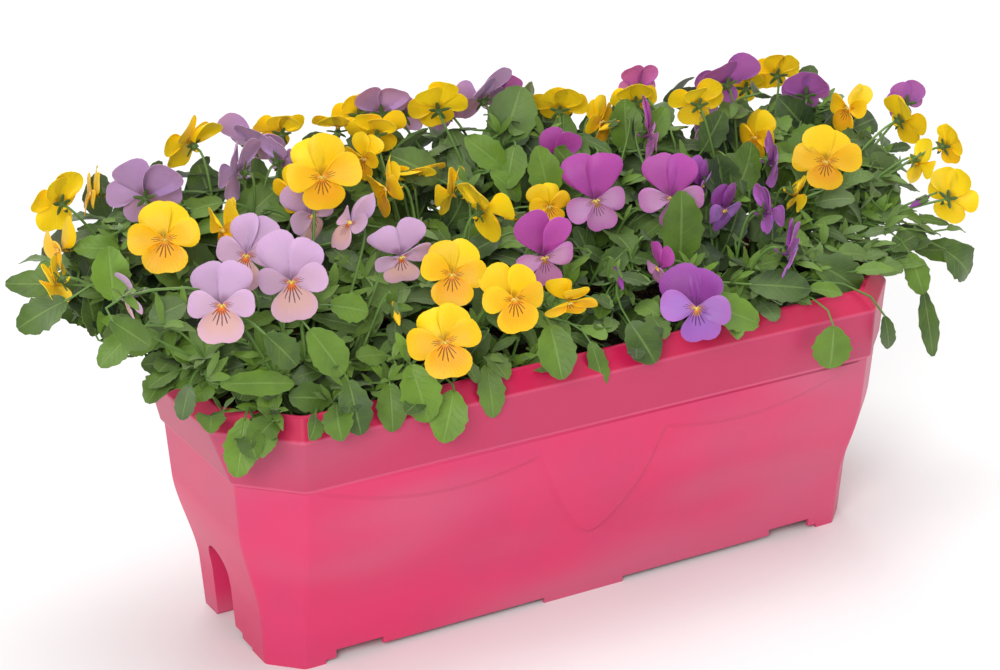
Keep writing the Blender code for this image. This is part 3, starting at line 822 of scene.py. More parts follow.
def drape_height(x, z):
    """How far the drapery stands proud of a long side at a place on it."""
    x = abs(x)
    if x > DRAPE_END:
        return 0.0
    if x > DRAPE_PEAK:
        share = (DRAPE_END - x) / (DRAPE_END - DRAPE_PEAK)
        straight = COLLAR_Z + (DRAPE_PEAK_Z - COLLAR_Z) * share
        edge = straight - DRAPE_SAG * 4 * share * (1 - share)
        slope = (DRAPE_PEAK_Z - COLLAR_Z - DRAPE_SAG * 4 * (1 - 2 * share)) / (
            DRAPE_END - DRAPE_PEAK)
    else:
        down = 1 - (x / DRAPE_PEAK) ** (1 / TAIL_CURVE)
        fall = DRAPE_PEAK_Z - TAIL_TIP_Z
        edge = DRAPE_PEAK_Z - fall * down
        slope = fall / (DRAPE_PEAK * TAIL_CURVE) * (x / DRAPE_PEAK) ** (1 / TAIL_CURVE - 1)
    clear = (z - edge) / math.hypot(1, slope)
    return DRAPE_PROUD * smooth(clear / DRAPE_SOFT)


def hang_drapery(bm):
    """Divides the two long sides finely and raises the drapery on them."""
    low, high = FLOOR_TOP, COLLAR_Z - LIP / 2

    def on_long_side(point):
        depth = body_size(point.z)[1] - 0.4 * MM
        return low - 1e-6 < point.z < high and abs(point.y) > depth

    level = [e for e in bm.edges if e.calc_length() > DRAPE_END
             and all(on_long_side(v.co) for v in e.verts)]
    bmesh.ops.subdivide_edges(bm, edges=level, cuts=WALL_COLUMNS, use_grid_fill=True)
    for vert in bm.verts:
        if on_long_side(vert.co):
            proud = drape_height(vert.co.x, vert.co.z)
            vert.co.y += math.copysign(proud, vert.co.y)


def keep_flats_flat(mesh):
    """Parts the shading of wide faces from that of the narrow rounding beside them."""
    bm = bmesh.new()
    bm.from_mesh(mesh)
    for edge in bm.edges:
        if len(edge.link_faces) == 2 and edge.calc_face_angle() > FLAT_TURN:
            small, large = sorted(face.calc_area() for face in edge.link_faces)
            if large > 4 * small:
                edge.smooth = False
    bm.to_mesh(mesh)
    bm.free()


def shell_form():
    """The outside of the box as a solid, with its edges rounded."""
    shell = body_rings(0, FLOOR_TOP, 0, 2)[:-1] + body_rings(
        FLOOR_TOP, COLLAR_Z - LIP, 0, WALL_LEVELS)
    shell += [section(COLLAR_FOOT, COLLAR_Z), section(RIM_LINE, RIM_LINE_Z),
              section(RIM_TOP, RIM_TOP_Z)]
    rounds = ((RIM_TOP_Z, 1.1 * MM), (RIM_LINE_Z, 1.2 * MM), (COLLAR_Z, 1.0 * MM))
    return soften(loft(shell), rounds, UPRIGHT_ROUNDING)


def hollow_forms():
    """The spaces above and under the floor, with the slots' housings left standing in them."""
    hollow = body_rings(FLOOR_TOP, COLLAR_Z - LIP, WALL, 20)
    hollow += [section(size, z, inset) for size, z, inset in (
        (RIM_LINE, RIM_LINE_Z - WALL, WALL), (RIM_TOP, RIM_TOP_Z - WALL, WALL),
        (RIM_TOP, RIM_TOP_Z - LIP_ROUND, WALL), (RIM_TOP, RIM_TOP_Z, WALL - LIP_ROUND),
        (RIM_TOP, RIM_TOP_Z + WALL, WALL - LIP_ROUND))]
    under = body_rings(-WALL, FLOOR_UNDER, WALL, 3)
    return [carve(cutter(soften(loft(rings), (), INSIDE_ROUNDING)),
                  [slot_block(side, WALL, -2 * WALL) for side in (-1, 1)])
            for rings in (hollow, under)]


def window_box(finishes):
    box = piece_from(shell_form(), "window_box_shell", [finishes["plastic"]])
    carve(box, hollow_forms() + [slot_block(side, 0) for side in (-1, 1)]
          + drain_cutters() + foot_cutters())
    bm = reopened(box)
    hang_drapery(bm)
    made = piece_from(bm, "window_box_moulding", [finishes["plastic"]], 32)
    keep_flats_flat(made.data)
    riding(made, "pink_plastic", "window_box")


# ---- soil ---------------------------------------------------------------------------------------

def soil_form():
    """The soil as a solid that fills the box, its top divided into a fine grid."""
    inset = WALL + 0.3 * MM
    rings = body_rings(FLOOR_TOP + 0.3 * MM, COLLAR_Z - LIP, inset, 10)
    share = (SOIL_TOP - COLLAR_Z) / (RIM_LINE_Z - COLLAR_Z)
    top = [a + (b - a) * share for a, b in zip(BODY_TOP, RIM_LINE)]
    bm = loft(rings + [section(top, SOIL_TOP, inset + 0.3 * MM)])
    for axis, reach in enumerate(RIM_LINE[:2]):
        for i in range(round(2 * reach / SOIL_GRAIN)):
            lid = [f for f in bm.faces if f.normal.z > 0.9]
            geom = lid + once_each(e for f in lid for e in f.edges) + once_each(
                v for f in lid for v in f.verts)
            place = Vector((0, 0, 0))
            place[axis] = -reach + i * SOIL_GRAIN
            across = Vector((0, 0, 0))
            across[axis] = 1
            bmesh.ops.bisect_plane(bm, geom=geom, plane_co=place, plane_no=across, dist=1e-6)
    return bm


def add_crumbs(bm):
    """Small lumps, each turned and pulled about, over the top of the soil."""
    chance = random.Random(SOIL_SEED)
    noise.seed_set(SOIL_SEED)
    for _ in range(SOIL_CRUMBS):
        x, y = (chance.uniform(-reach, reach) * MM for reach in CRUMB_REACH)
        if abs(x) + abs(y) > CRUMB_CORNER:
            continue
        radius = chance.uniform(1.2, 3.6) * MM
        place = Matrix.Translation((x, y, SOIL_TOP + 0.3 * radius)) @ Euler(
            [chance.uniform(0, 6) for _ in range(3)]).to_matrix().to_4x4()
        lump = bmesh.ops.create_icosphere(bm, subdivisions=1, radius=radius, matrix=place @
                                          Matrix.Diagonal((1, chance.uniform(0.6, 1), 0.7, 1)))
        for vert in lump["verts"]:
            vert.co += 0.3 * radius * noise.noise_vector(vert.co * 400)


def soil(finishes):
    fill = piece_from(soil_form(), "potting_soil_fill", [finishes["soil"]])
    carve(fill, [slot_block(side, WALL + 0.4 * MM, -2 * WALL) for side in (-1, 1)])
    bm = reopened(fill)
    walls = {v for f in bm.faces if f.normal.z < 0.9 for v in f.verts}
    for vert in bm.verts:
        if vert not in walls:
            vert.co.z += 3 * MM * noise.noise(vert.co * 60) + 1.5 * MM * noise.noise(vert.co * 220)
    add_crumbs(bm)
    made = piece_from(bm, "potting_soil_crumbs", [finishes["soil"]], 80)
    riding(made, "soil", "potting_soil")


# ---- stalks, leaves and petals ------------------------------------------------------------------

# The order of the finishes on a flower, a bud or a plant; a blade is a petal or a leaf.
BLADE, STEM, SEPAL, EYE, BEARD = range(5)


def turned(degrees, axis):
    return Matrix.Rotation(math.radians(degrees), 4, axis)


def jitter(chance, reach):
    return Vector([chance.uniform(-reach, reach) for _ in range(3)])


class Sprig:
    """A bmesh that leaves, petals and stalks are added to, with the facts its finishes read."""

    def __init__(self):
        self.bm = bmesh.new()
        self.sheets = []
        layers = self.bm.verts.layers.float
        self.layers = {name: layers.new(name) for name in ("along", "across", "kind", "under",
                                                           "tint")}

    def note(self, vert, **facts):
        for name, value in facts.items():
            vert[self.layers[name]] = value

    def sheet(self, columns, rows, shape, place, part, tint=0.5, kind=0, bunched=False):
        """A grid bent by shape(across, along); close_sheets makes it a thin closed solid.

        Bunched columns lie closer together towards the two edges.
        """
        grid = bmesh.ops.create_grid(self.bm, x_segments=columns, y_segments=rows, size=1)["verts"]
        faces = once_each(f for v in grid for f in v.link_faces)
        for face in faces:
            face.material_index = part
        for vert in grid:
            across, along = vert.co.x, (vert.co.y + 1) / 2
            if bunched:
                across = math.sin(across * math.pi / 2)
            self.note(vert, across=across, along=along, kind=kind, tint=tint)
            vert.co = place @ Vector(shape(across, along))
        self.sheets += faces

    def close_sheets(self, thick):
        """Gives the sheets so far their thickness, and notes which side is under."""
        for face in self.sheets:
            face.normal_update()
        for part in bmesh.ops.solidify(self.bm, geom=self.sheets, thickness=thick)["geom"]:
            if isinstance(part, bmesh.types.BMVert):
                part[self.layers["under"]] = 1.0
        self.sheets = []

    def tube(self, points, radii, sides, part):
        """A closed round tube along the points."""
        rings = []
        side = None
        for i, point in enumerate(points):
            ahead = points[min(i + 1, len(points) - 1)] - points[max(i - 1, 0)]
            ahead.normalize()
            if side is None:
                side = ahead.orthogonal().normalized()
            side = (side - ahead * side.dot(ahead)).normalized()
            over = ahead.cross(side)
            turns = [2 * math.pi * k / sides for k in range(sides)]
            rings.append([point + (side * math.cos(t) + over * math.sin(t)) * radii[i]
                          for t in turns])
        self.skin(rings, part)

    def stalk(self, route, radius, loss, sides):
        """A tube in the stem's finish; its radius in mm at the foot, less a loss by the tip."""
        last = len(route) - 1
        self.tube(route, [(radius - loss * i / last) * MM for i in range(last + 1)], sides, STEM)

    def skin(self, rings, part):
        """A closed skin through rings of as many points each."""
        bm = self.bm
        loops = [[bm.verts.new(p) for p in ring] for ring in rings]
        sides = len(loops[0])
        faces = []
        for lower, upper in zip(loops, loops[1:]):
            for k in range(sides):
                j = (k + 1) % sides
                faces.append(bm.faces.new((lower[k], lower[j], upper[j], upper[k])))
        faces.append(bm.faces.new(loops[0][::-1]))
        faces.append(bm.faces.new(loops[-1]))
        for face in faces:
            face.material_index = part
        last = len(loops) - 1
        for level, loop in enumerate(loops):
            for vert in loop:
                self.note(vert, along=level / last, across=0.5, tint=0.5)

    def bead(self, centre, size, part, tall=1):
        """A small ball, so many times as tall as wide along local Z."""
        verts = bmesh.ops.create_icosphere(
            self.bm, subdivisions=2, radius=size,
            matrix=centre @ Matrix.Diagonal((1, 1, tall, 1)))["verts"]
        for vert in verts:
            self.note(vert, along=0.5, across=0.5, tint=0.5)
            for face in vert.link_faces:
                face.material_index = part


# Two upper petals, two side petals and the lowest one, from the rearmost to the foremost: the
# kind of each, and how far forward it is, in mm, in a flower whose half width is LAYERED_HALF.
PETAL_LAYERS = ((UPPER, -1.6), (UPPER, -1.1), (SIDE, 0.2), (SIDE, 0.6), (LOWEST, 1.1))
PETAL_LEANS = (-9, 8, 6)      # degrees, for each kind
LAYERED_HALF = 20 * MM

# For each petal in turn: direction from straight up in degrees, length and half spread.
PETAL_PLAN = {
    "yellow": ((-25, 1.06, 44), (25, 1.04, 44), (80, 1.0, 40), (-81, 1.0, 40), (180, 0.93, 62)),
    "lilac": ((-25, 1.27, 38), (26, 1.24, 38), (82, 0.92, 40), (-84, 0.92, 40), (180, 1.0, 54)),
    "magenta": ((-25, 1.28, 37), (26, 1.24, 37), (94, 0.86, 38), (-96, 0.86, 38),
                (180, 0.86, 46)),
    "purple": ((-28, 1.12, 48), (29, 1.1, 48), (86, 0.92, 42), (-88, 0.92, 42), (180, 0.95, 54)),
}


def petal_shape(kind, length, spread, chance):
    """Bends the sheet into one petal, its base at the origin and its tip along local Y."""
    spread = math.radians(spread)
    cup = chance.uniform(-0.02, 0.12) if kind == UPPER else chance.uniform(0.04, 0.16)
    roll = chance.uniform(0.03, 0.12)
    ripple = chance.uniform(0.025, 0.06) * length
    phase = chance.uniform(0, 6.28)
    lopsided = chance.uniform(-0.06, 0.06)
    notch = 0.08 if kind == LOWEST else chance.uniform(0.0, 0.03)
    foot = 0.42 if kind == LOWEST else 0.3

    def shape(across, along):
        angle = across * spread
        edge = foot + (1 - foot) * max(0.0, 1 - abs(across) ** 3) ** 0.5
        edge *= 1 + lopsided * across
        edge -= notch * math.exp(-(across / 0.2) ** 2)
        radius = length * edge * (0.05 + 0.95 * along)
        z = cup * length * along ** 2 - 2 * roll * length * along ** 4
        z += 0.10 * length * across ** 2 * along * (0.4 if kind == UPPER else 1)
        z += ripple * math.sin(angle * 5.2 + phase) * along ** 3
        return radius * math.sin(angle), radius * math.cos(angle), z
    return shape


def add_petals(sprig, seat, colour, width, chance):
    half = width * FULL_BLOOM / 2
    for (kind, layer), (turn, length, spread) in zip(PETAL_LAYERS, PETAL_PLAN[colour]):
        turn += chance.uniform(-9, 9)
        lean = PETAL_LEANS[kind] + chance.uniform(-13, 13)
        place = (seat @ Matrix.Translation((0, 0, layer * MM * half / LAYERED_HALF))
                 @ turned(-turn, "Z") @ turned(lean, "X") @ turned(chance.uniform(-9, 9), "Y"))
        shape = petal_shape(kind, half * length * chance.uniform(0.9, 1.06), spread, chance)
        sprig.sheet(16, 7, shape, place, BLADE, chance.random(), kind, True)


def add_calyx(sprig, seat, chance):
    """Five pointed sepals behind the petals, their short tails, and the spur."""
    foot = seat @ Matrix.Translation((0, 0, -SEPAL_FOOT))
    for i in range(5):
        turn = math.radians(72 * i + chance.uniform(-8, 8))
        length = chance.uniform(5.0, 7.0) * MM
        place = foot @ Matrix.Rotation(turn, 4, "Z") @ turned(chance.uniform(-14, 6), "X")

        def sepal(across, along):
            wide = 1.25 * MM * math.sin(math.pi * min(1, 0.12 + along * 0.86)) ** 0.7
            return wide * across, 1.2 * MM + length * along, 0.5 * MM * across ** 2
        sprig.sheet(2, 5, sepal, place, SEPAL, chance.random())
        tail = [seat @ Vector((math.sin(turn) * r, math.cos(turn) * r, z)) for r, z in (
            (1.2 * MM, -5.0 * MM), (1.9 * MM, -6.6 * MM), (1.7 * MM, -8.0 * MM))]
        sprig.tube(tail, (0.9 * MM, 0.8 * MM, 0.3 * MM), 5, SEPAL)
    spur = [seat @ (Vector((0, y, z)) * MM)
            for y, z in ((-0.5, -1), (-1.6, -5), (-1.8, -8.4), (-0.8, -10.4))]
    sprig.tube(spur, (1.6 * MM, 1.4 * MM, 1.1 * MM, 0.5 * MM), 7, BLADE)
    sprig.bead(foot, 2.2 * MM, SEPAL, 1.4)


def add_eye(sprig, seat, chance):
    """The stigma in the throat, with two beards beside it."""
    sprig.bead(seat @ Matrix.Translation((0, -0.5 * MM, 1.4 * MM)), 0.95 * MM, EYE)
    for side in (-1, 1):
        for k in range(5):
            foot = seat @ Vector((side * (1.1 + 0.35 * k) * MM, (0.9 - 0.28 * k) * MM, 0.9 * MM))
            tip = seat @ Vector((side * (0.6 + 0.45 * k) * MM, (0.3 - 0.2 * k) * MM,
                                 chance.uniform(2.0, 2.6) * MM))
            sprig.tube([foot, tip], (0.34 * MM, 0.16 * MM), 4, BEARD)


def crown_point(plant, aim):
    """A point on the low crown of a plant, on the side of what grows from it."""
    x, y = PLANTS[plant]
    centre = Vector((x * MM, y * MM, SOIL_TOP - 1 * MM))
    out = aim - centre
    out.z = 0
    reach = min(18 * MM, out.length * 0.25)
    return centre + (out.normalized() * reach if out.length > 0 else Vector())


def nearest_plant(place):
    return min(range(len(PLANTS)), key=lambda k: math.hypot(
        place.x - PLANTS[k][0] * MM, place.y - PLANTS[k][1] * MM))


def flower_seat(place, turn, lift, roll=0.0):
    """Where a flower sits: its throat at the place, local Z out of its face and Y upwards."""
    face = Euler((math.radians(90 - lift), 0, math.radians(turn))).to_matrix()
    return Matrix.Translation(place) @ face.to_4x4() @ turned(roll, "Z")


def facing_of(turn, lift):
    return flower_seat(Vector(), turn, lift).to_3x3() @ Vector((0, 0, 1))


def stalk_route(place, facing, chance):
    """Up from the plant, over a crook, and into the calyx from behind."""
    neck = place - facing * CALYX_DEPTH
    foot = crown_point(nearest_plant(place), place)
    reach = (neck - foot).length
    rise = foot + (neck - foot) * 0.3 + Vector((
        chance.uniform(-8, 8) * MM, chance.uniform(-8, 8) * MM, 0.14 * reach))
    crook = neck - facing * CROOK + Vector((0, 0, 4 * MM - 0.1 * reach * max(0, -facing.z)))
    return interpolate_bezier(foot, rise, crook, neck, STALK_STEPS)


def flower(name, colour, place, turn, lift, width, finishes, chance):
    """One viola on its stalk. Returns the object and the stalk's route."""
    seat = flower_seat(place, turn, lift, chance.uniform(-9, 9))
    sprig = Sprig()
    add_petals(sprig, seat, colour, width, chance)
    add_calyx(sprig, seat, chance)
    sprig.close_sheets(0.28 * MM)
    add_eye(sprig, seat, chance)
    route = stalk_route(place, facing_of(turn, lift), chance)
    sprig.stalk(route, 1.15, 0.35, 7)
    parts = (colour, "stem", "sepal", "eye", "beard")
    return piece_from(sprig.bm, name, [finishes[part] for part in parts], 60), route


def all_flowers(finishes):
    """Every flower. Returns the stalks' routes, plant by plant, for leaves to grow from."""
    routes = {k: [] for k in range(len(PLANTS))}
    count = {}
    for index, (colour, x, y, z, turn, lift, width) in enumerate(FLOWERS + SMALL_FLOWERS):
        from_cad = index < len(FLOWERS)
        kind = f"{colour}_viola" if from_cad else f"small_{colour}_viola"
        count[kind] = count.get(kind, 0) + 1
        node = f"{kind}_{count[kind]:02d}"
        place = Vector((x, y, z)) * MM
        made, route = flower(f"{node}_bloom", colour, place, turn, lift, width * MM, finishes,
                             random.Random(500 + index))
        riding(made, f"{colour}_petal", *([node] if from_cad else []))
        routes[nearest_plant(place)].append(route)
    return routes


# Rings of a bud, in mm: how far along it, and radius.
BUD_RINGS = ((-3, 0.6), (0, 2.0), (3, 2.6), (7, 2.4), (10, 1.5), (12.5, 0.5))


def bud(name, colour, place, lift, finishes, chance):
    """A pointed bud nodding on its stalk."""
    sprig = Sprig()
    turn = chance.uniform(0, 360)
    seat = flower_seat(place, turn, lift)
    turns = [2 * math.pi * k / 8 for k in range(8)]
    sprig.skin([[seat @ (Vector((radius * math.cos(t), radius * math.sin(t) * 0.85, along)) * MM)
                 for t in turns] for along, radius in BUD_RINGS], BLADE)
    for i in range(5):
        sepal_seat = (seat @ Matrix.Rotation(2 * math.pi * i / 5, 4, "Z")
                      @ Matrix.Translation((0, 2.3 * MM, -1.5 * MM)) @ turned(84, "X"))

        def sepal(across, along):
            return (1.5 * MM * across * math.sin(math.pi * (0.15 + 0.8 * along)) ** 0.7,
                    8 * MM * along, 0.6 * MM * math.sin(math.pi * along))
        sprig.sheet(2, 5, sepal, sepal_seat, SEPAL)
    sprig.close_sheets(0.3 * MM)
    sprig.stalk(stalk_route(place, facing_of(turn, lift), chance), 1.0, 0.3, 6)
    made = piece_from(sprig.bm, name, [finishes[part] for part in (colour, "stem", "sepal")], 60)
    riding(made, f"{colour}_petal")


# ---- foliage ------------------------------------------------------------------------------------

def leaf_outline(along, kind):
    """Half width of a blade, as a share of its greatest, from foot to tip."""
    if kind == "lance":
        return math.sin(math.pi * (0.04 + 0.93 * along) ** 0.9) ** 0.8
    return math.sin(math.pi * (0.03 + 0.955 * along) ** 1.08) ** 0.6


def leaf_shape(length, width, kind, chance):
    """Bends the sheet into one leaf, with a crenate edge, its foot at the origin."""
    droop = chance.uniform(0.15, 1.0)
    fold = chance.uniform(-0.05, 0.4)
    teeth = chance.uniform(0.05, 0.11)
    wave = chance.uniform(0.01, 0.035) * length
    phase = chance.uniform(0, 6)

    def shape(across, along):
        half = width / 2 * leaf_outline(along, kind)
        if abs(across) > 0.99:
            half *= 1 + teeth * math.sin(2 * math.pi * along * LEAF_ROWS / LOBE_ROWS)
        bend = droop * along
        y = length * math.sin(bend) / droop
        z = -length * (1 - math.cos(bend)) / droop + fold * abs(across) * half
        z += wave * math.sin(along * 11 + across * 2.5 + phase) * abs(across)
        return half * across, y, z
    return shape


def leaf_place(foot, ahead, normal):
    """Local Y runs along the leaf and local Z is its upper face."""
    side = ahead.cross(normal).normalized()
    return Matrix.Translation(foot) @ Matrix((side, ahead, side.cross(ahead))).transposed().to_4x4()


def leafy_stems(plant, chance):
    """Stems that fan out of the crown to points under the top of the foliage."""
    stems = []
    x, y = (c * MM for c in PLANTS[plant])
    for i in range(STEMS_EACH):
        turn = 2 * math.pi * (i + chance.random()) / STEMS_EACH
        spread = chance.uniform(30, 85) * MM
        px = x + math.cos(turn) * spread * 1.3
        py = max(STEM_FRONT, min(STEM_BACK, y + math.sin(turn) * spread))
        tip = Vector((px, py, foliage_top(px, py) - chance.uniform(12, 30) * MM))
        if abs(px) > RIM_TOP[0] - 2 * WALL:
            tip.z = max(tip.z, RIM_TOP_Z + 22 * MM)
        foot = crown_point(plant, tip)
        tall = Vector((0, 0, tip.z - foot.z))
        stems.append(interpolate_bezier(foot, foot + tall * 0.55, tip - tall * 0.25, tip, 12))
    return stems


class Foliage:
    """The leaves, leaf stalks and stipules of one plant."""

    def __init__(self, plant, routes, chance):
        self.sprig = Sprig()
        self.plant = plant
        self.chance = chance
        self.nodes = []
        self.joints = [p for route in routes for p in route[2:]]
        for stem in leafy_stems(plant, chance):
            self.joints += stem[2:]
            self.sprig.stalk(stem, 1.5, 0.6, 6)

    def leaf(self, foot, ahead, normal, length, width, kind="ovate", tint=None):
        """One leaf, and its stalk from the nearest joint that suits it."""
        ahead = ahead.normalized()
        tint = self.chance.random() if tint is None else tint
        shape = leaf_shape(length, width, kind, self.chance)
        self.sprig.sheet(4, LEAF_ROWS, shape, leaf_place(foot, ahead, normal), BLADE, tint)
        joint = min(self.joints, key=lambda p: (p - foot + ahead * 0.3 * length).length
                    + 3 * max(0.0, p.z - foot.z + 4 * MM))
        reach = (foot - joint).length
        route = interpolate_bezier(joint, joint + Vector((0, 0, 0.3 * reach)),
                                   foot - ahead * 0.4 * reach, foot + ahead * 1.5 * MM, 7)
        for point in route:
            if not within(point.x, point.y, RIM_TOP, 2 * WALL):
                clear = min(foot.z, max(foliage_foot(point.x, point.y), RIM_TOP_Z) + 3 * MM)
                point.z = max(point.z, clear)
        self.sprig.stalk(route, 0.95, 0.24, 4)
        self.nodes += [route[1], route[4]]

    def stipules(self, place, out, lines):
        """A tuft of narrow blunt lobes at a joint of the stem."""
        chance = self.chance
        for _ in range(chance.randint(3, 5)):
            ahead = (out + jitter(chance, 0.9)).normalized()
            length = chance.uniform(9, 22) * MM
            tip = place + ahead * length
            if tip.z < foliage_foot(tip.x, tip.y) + 2 * MM or not off_flowers(tip, lines):
                continue
            shape = leaf_shape(length, length * chance.uniform(0.2, 0.36), "ovate", chance)
            self.sprig.sheet(2, 6, shape, leaf_place(place, ahead, Vector((-0.2, -0.6, 1))),
                             BLADE, chance.uniform(0.55, 1.25))

    def tufts(self, lines):
        """Stipules where leaf stalks branch, more of them low at the front and the ends."""
        for place in self.nodes:
            low = place.y < TUFT_FRONT or abs(place.x) > END_ZONE
            depth = foliage_top(place.x, place.y) - place.z
            if depth < TUFT_DEPTH and self.chance.random() < (0.5 if low else 0.2):
                self.stipules(place, outward_slope(place.x, place.y), lines)

    def finish(self, finishes):
        self.sprig.close_sheets(0.35 * MM)
        made = piece_from(self.sprig.bm, f"viola_plant_{self.plant + 1}_foliage",
                          [finishes["leaf"], finishes["stem"]], 60)
        riding(made, "viola_leaf", f"viola_plant_{self.plant + 1}")


def foliage_top(x, y):
    """How high the leaves stand over a place: it rises to the back and falls at the edges."""
    back = smooth((y - RISE_FROM) / RISE_OVER)
    height = FRONT_HEIGHT + BACK_RISE * back
    height -= REAR_FALL * smooth((y - REAR_FROM) / REAR_OVER)
    ends = smooth((abs(x) - ENDS_FROM) / ENDS_OVER)
    fall = RIGHT_FALL if x > 0 else LEFT_FALL
    return height - fall * ends * (0.35 + 0.65 * back)


def within(x, y, size, inset):
    """Whether a place lies inside one of the eight-sided sections, in plan."""
    half_length, half_width, cut = size
    return (abs(x) < half_length - inset and abs(y) < half_width - inset
            and abs(x) + abs(y) < half_length + half_width - cut - 1.4 * inset)


def foliage_foot(x, y):
    """How low a leaf may reach outside the box before it would hang in front of it."""
    past_end = max(0.0, abs(x) - RIM_LINE[0])
    if past_end > 0 and x < 0:
        return RIM_TOP_Z + 0.5 * past_end + 1.3 * max(0.0, past_end - 45 * MM)
    if past_end > 0:
        return RIM_TOP_Z + 0.12 * past_end
    if within(x, y, RIM_TOP, 6 * MM):
        return SOIL_TOP
    return RIM_TOP_Z + (1 * MM if within(x, y, RIM_LINE, 0) else -4 * MM)


def outward_slope(x, y):
    """Which way the foliage faces at a place: up, and away from its middle."""
    step = 6 * MM
    along = foliage_top(x + step, y) - foliage_top(x - step, y)
    across = foliage_top(x, y + step) - foliage_top(x, y - step)
    return Vector((-along / (2 * step), -across / (2 * step), 1)).normalized()


def blooms_to_clear(length, share):
    """A line in front of each flower that leaves keep off, with a radius."""
    lines = []
    for _, x, y, z, turn, lift, width in FLOWERS + SMALL_FLOWERS:
        throat = Vector((x, y, z)) * MM
        lines.append((throat, throat + facing_of(turn, lift) * length, share * width * MM))
    return lines


def off_flowers(point, lines):
    for start, end, radius in lines:
        run = end - start
        share = max(0.0, min(1.0, (point - start).dot(run) / run.length_squared))
        if (point - start - run * share).length < radius:
            return False
    return True


def scattered(spacing, chance):
    """Places over the box and its overhang, jittered off a grid."""
    reach_x, reach_y = FOLIAGE_REACH
    for i in range(round(2 * reach_x / spacing)):
        for j in range(round(2 * reach_y / spacing)):
            x = -reach_x + (i + chance.random()) * spacing
            y = -reach_y + (j + chance.random()) * spacing
            if (x / reach_x) ** 4 + (y / reach_y) ** 4 < 1 and y > FOLIAGE_FRONT:
                yield x, y


def grow_layer(plants, lines, spacing, depth, chance, ends_only=False):
    """Leaves at a depth range under the top of the foliage."""
    for x, y in scattered(spacing, chance):
        if ends_only and abs(x) < END_ZONE:
            continue
        middle = Vector((x, y, foliage_top(x, y) - chance.uniform(*depth)))
        turn = chance.uniform(0, 2 * math.pi)
        level = Vector((math.cos(turn), math.sin(turn), chance.uniform(-0.5, 0.6)))
        ahead = (level + Vector((x * 1.2, y * 3.2, 0)) / (200 * MM)).normalized()
        normal = outward_slope(x, y) + jitter(chance, 0.5)
        length = chance.uniform(*LEAF_LENGTHS) * MM
        if y < SHORT_FRONT or abs(x) > SHORT_END:
            length *= 0.74
        width = length * chance.uniform(0.5, 0.74)
        kind = "ovate" if chance.random() < 0.7 else "lance"
        if kind == "lance":
            width *= 0.62
        foot = middle - ahead * length / 2
        ends = (foot, middle, foot + ahead * length)
        if all(off_flowers(p, lines) and p.z > foliage_foot(p.x, p.y) for p in ends):
            # deeper layers take darker tints, as painted shade inside the foliage
            tint = chance.random() if depth[0] < SHADED_DEPTH else chance.uniform(-0.2, 0.5)
            plants[nearest_plant(middle)].leaf(foot, ahead, normal, length, width, kind, tint)


def grow_backing(plants, lines, chance):
    """Upright leaves low among the flower stalks, so that no light shows through the plants."""
    for _ in range(BACKING_LEAVES):
        x, y = chance.uniform(*BACKING_X) * MM, chance.uniform(*BACKING_Y) * MM
        low = RIM_TOP_Z + 4 * MM + max(0.0, abs(x) - RIM_LINE[0]) * 0.6
        high = foliage_top(x, min(y, 80 * MM)) - 20 * MM
        foot = Vector((x, y, chance.uniform(low, max(low, high))))
        ahead = Vector((chance.uniform(-0.9, 0.9), chance.uniform(-0.3, 0.5), 1)).normalized()
        length = chance.uniform(26, 40) * MM
        faces = 1 if y > 88 * MM else -1
        normal = Vector((chance.uniform(-0.7, 0.7), faces, chance.uniform(0.1, 0.8)))
        if all(off_flowers(foot + ahead * length * share, lines) for share in (0, 0.5, 1)):
            # backing leaves take darker tints: painted shade low among the stalks
            plants[nearest_plant(foot)].leaf(foot, ahead, normal, length,
                                             length * chance.uniform(0.55, 0.8), "ovate",
                                             chance.uniform(-0.2, 0.6))


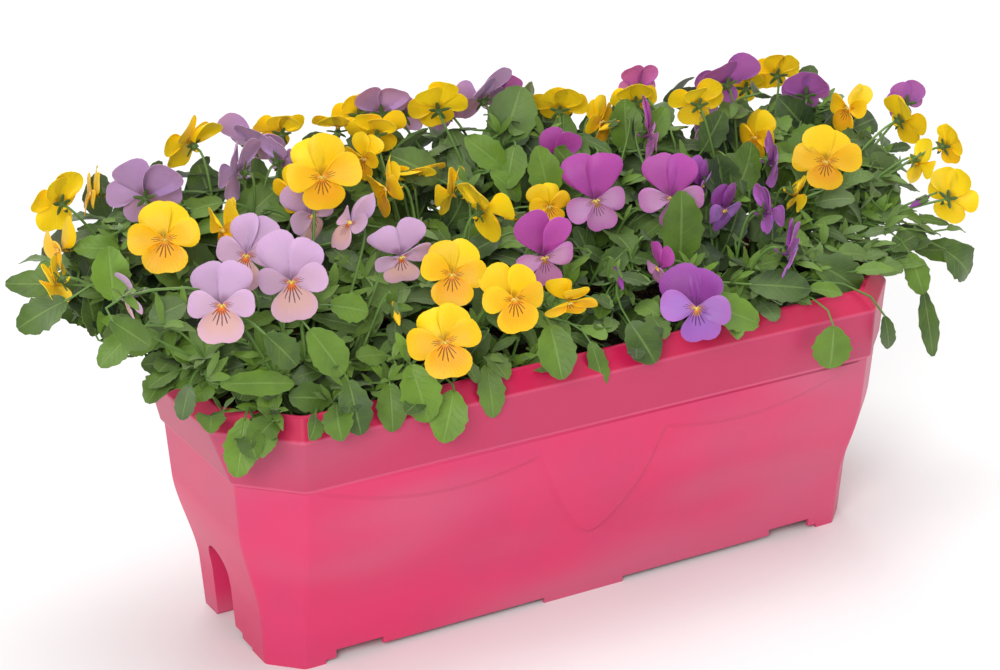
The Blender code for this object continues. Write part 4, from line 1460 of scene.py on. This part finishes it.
def grow_skirt(plants, lines, chance):
    """Short leaves that lean over the rim all the way round."""
    half_length, half_width, _ = RIM_TOP
    for i in range(SKIRT_LEAVES):
        turn = 2 * math.pi * (i + chance.uniform(-0.4, 0.4)) / SKIRT_LEAVES
        c, s = math.cos(turn), math.sin(turn)
        if s < 0 and chance.random() < 0.7:
            continue
        scale = 1 / (abs(c) ** 6 + abs(s) ** 6) ** (1 / 6)
        foot = Vector((c * scale * (half_length - 14 * MM), s * scale * (half_width - 14 * MM),
                       RIM_TOP_Z + chance.uniform(6, 18) * MM))
        out = Vector((c * 0.5 + chance.uniform(-0.7, 0.7), s, chance.uniform(-0.1, 0.5)))
        length = chance.uniform(17, 27) * MM
        tip = foot + out.normalized() * length
        if off_flowers(tip, lines):
            plants[nearest_plant(foot)].leaf(foot, out, Vector((c * 0.3, s * 0.5, 1)), length,
                                             length * chance.uniform(0.5, 0.72))


def grow_chosen(plants):
    """Leaves placed one by one, where they stand clear of the rest."""
    for foot, tip, share in CHOSEN_LEAVES:
        foot = Vector(foot) * MM
        ahead = Vector(tip) * MM - foot
        length = ahead.length
        plants[nearest_plant(foot)].leaf(foot, ahead, Vector((-0.35, -0.85, 0.6)), length,
                                         length * share)


def all_foliage(finishes, routes):
    chance = random.Random(7)
    plants = [Foliage(k, routes[k], chance) for k in range(len(PLANTS))]
    far = blooms_to_clear(32 * MM, 0.48)
    close = blooms_to_clear(20 * MM, 0.4)
    wide = blooms_to_clear(24 * MM, 0.62)
    grow_layer(plants, far, 17 * MM, (0, 14 * MM), chance)
    grow_layer(plants, close, 22 * MM, (16 * MM, 36 * MM), chance)
    grow_layer(plants, close, 27 * MM, (38 * MM, 70 * MM), chance)
    grow_layer(plants, close, 19 * MM, (8 * MM, 40 * MM), chance, ends_only=True)
    grow_backing(plants, close, chance)
    grow_skirt(plants, far, chance)
    grow_chosen(plants)
    for plant in plants:
        plant.tufts(wide)
        plant.finish(finishes)


def main():
    camera()
    studio()
    finishes = all_finishes()
    window_box(finishes)
    soil(finishes)
    for number in range(1, 7):
        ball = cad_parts[f"root_ball_{number}"]
        ball.data.materials.clear()
        ball.data.materials.append(finishes["roots"])
    routes = all_flowers(finishes)
    for number, (colour, x, y, z, lift) in enumerate(BUDS, 1):
        bud(f"viola_bud_{number:02d}", colour, Vector((x, y, z)) * MM, lift, finishes,
            random.Random(900 + number))
    all_foliage(finishes, routes)


main()
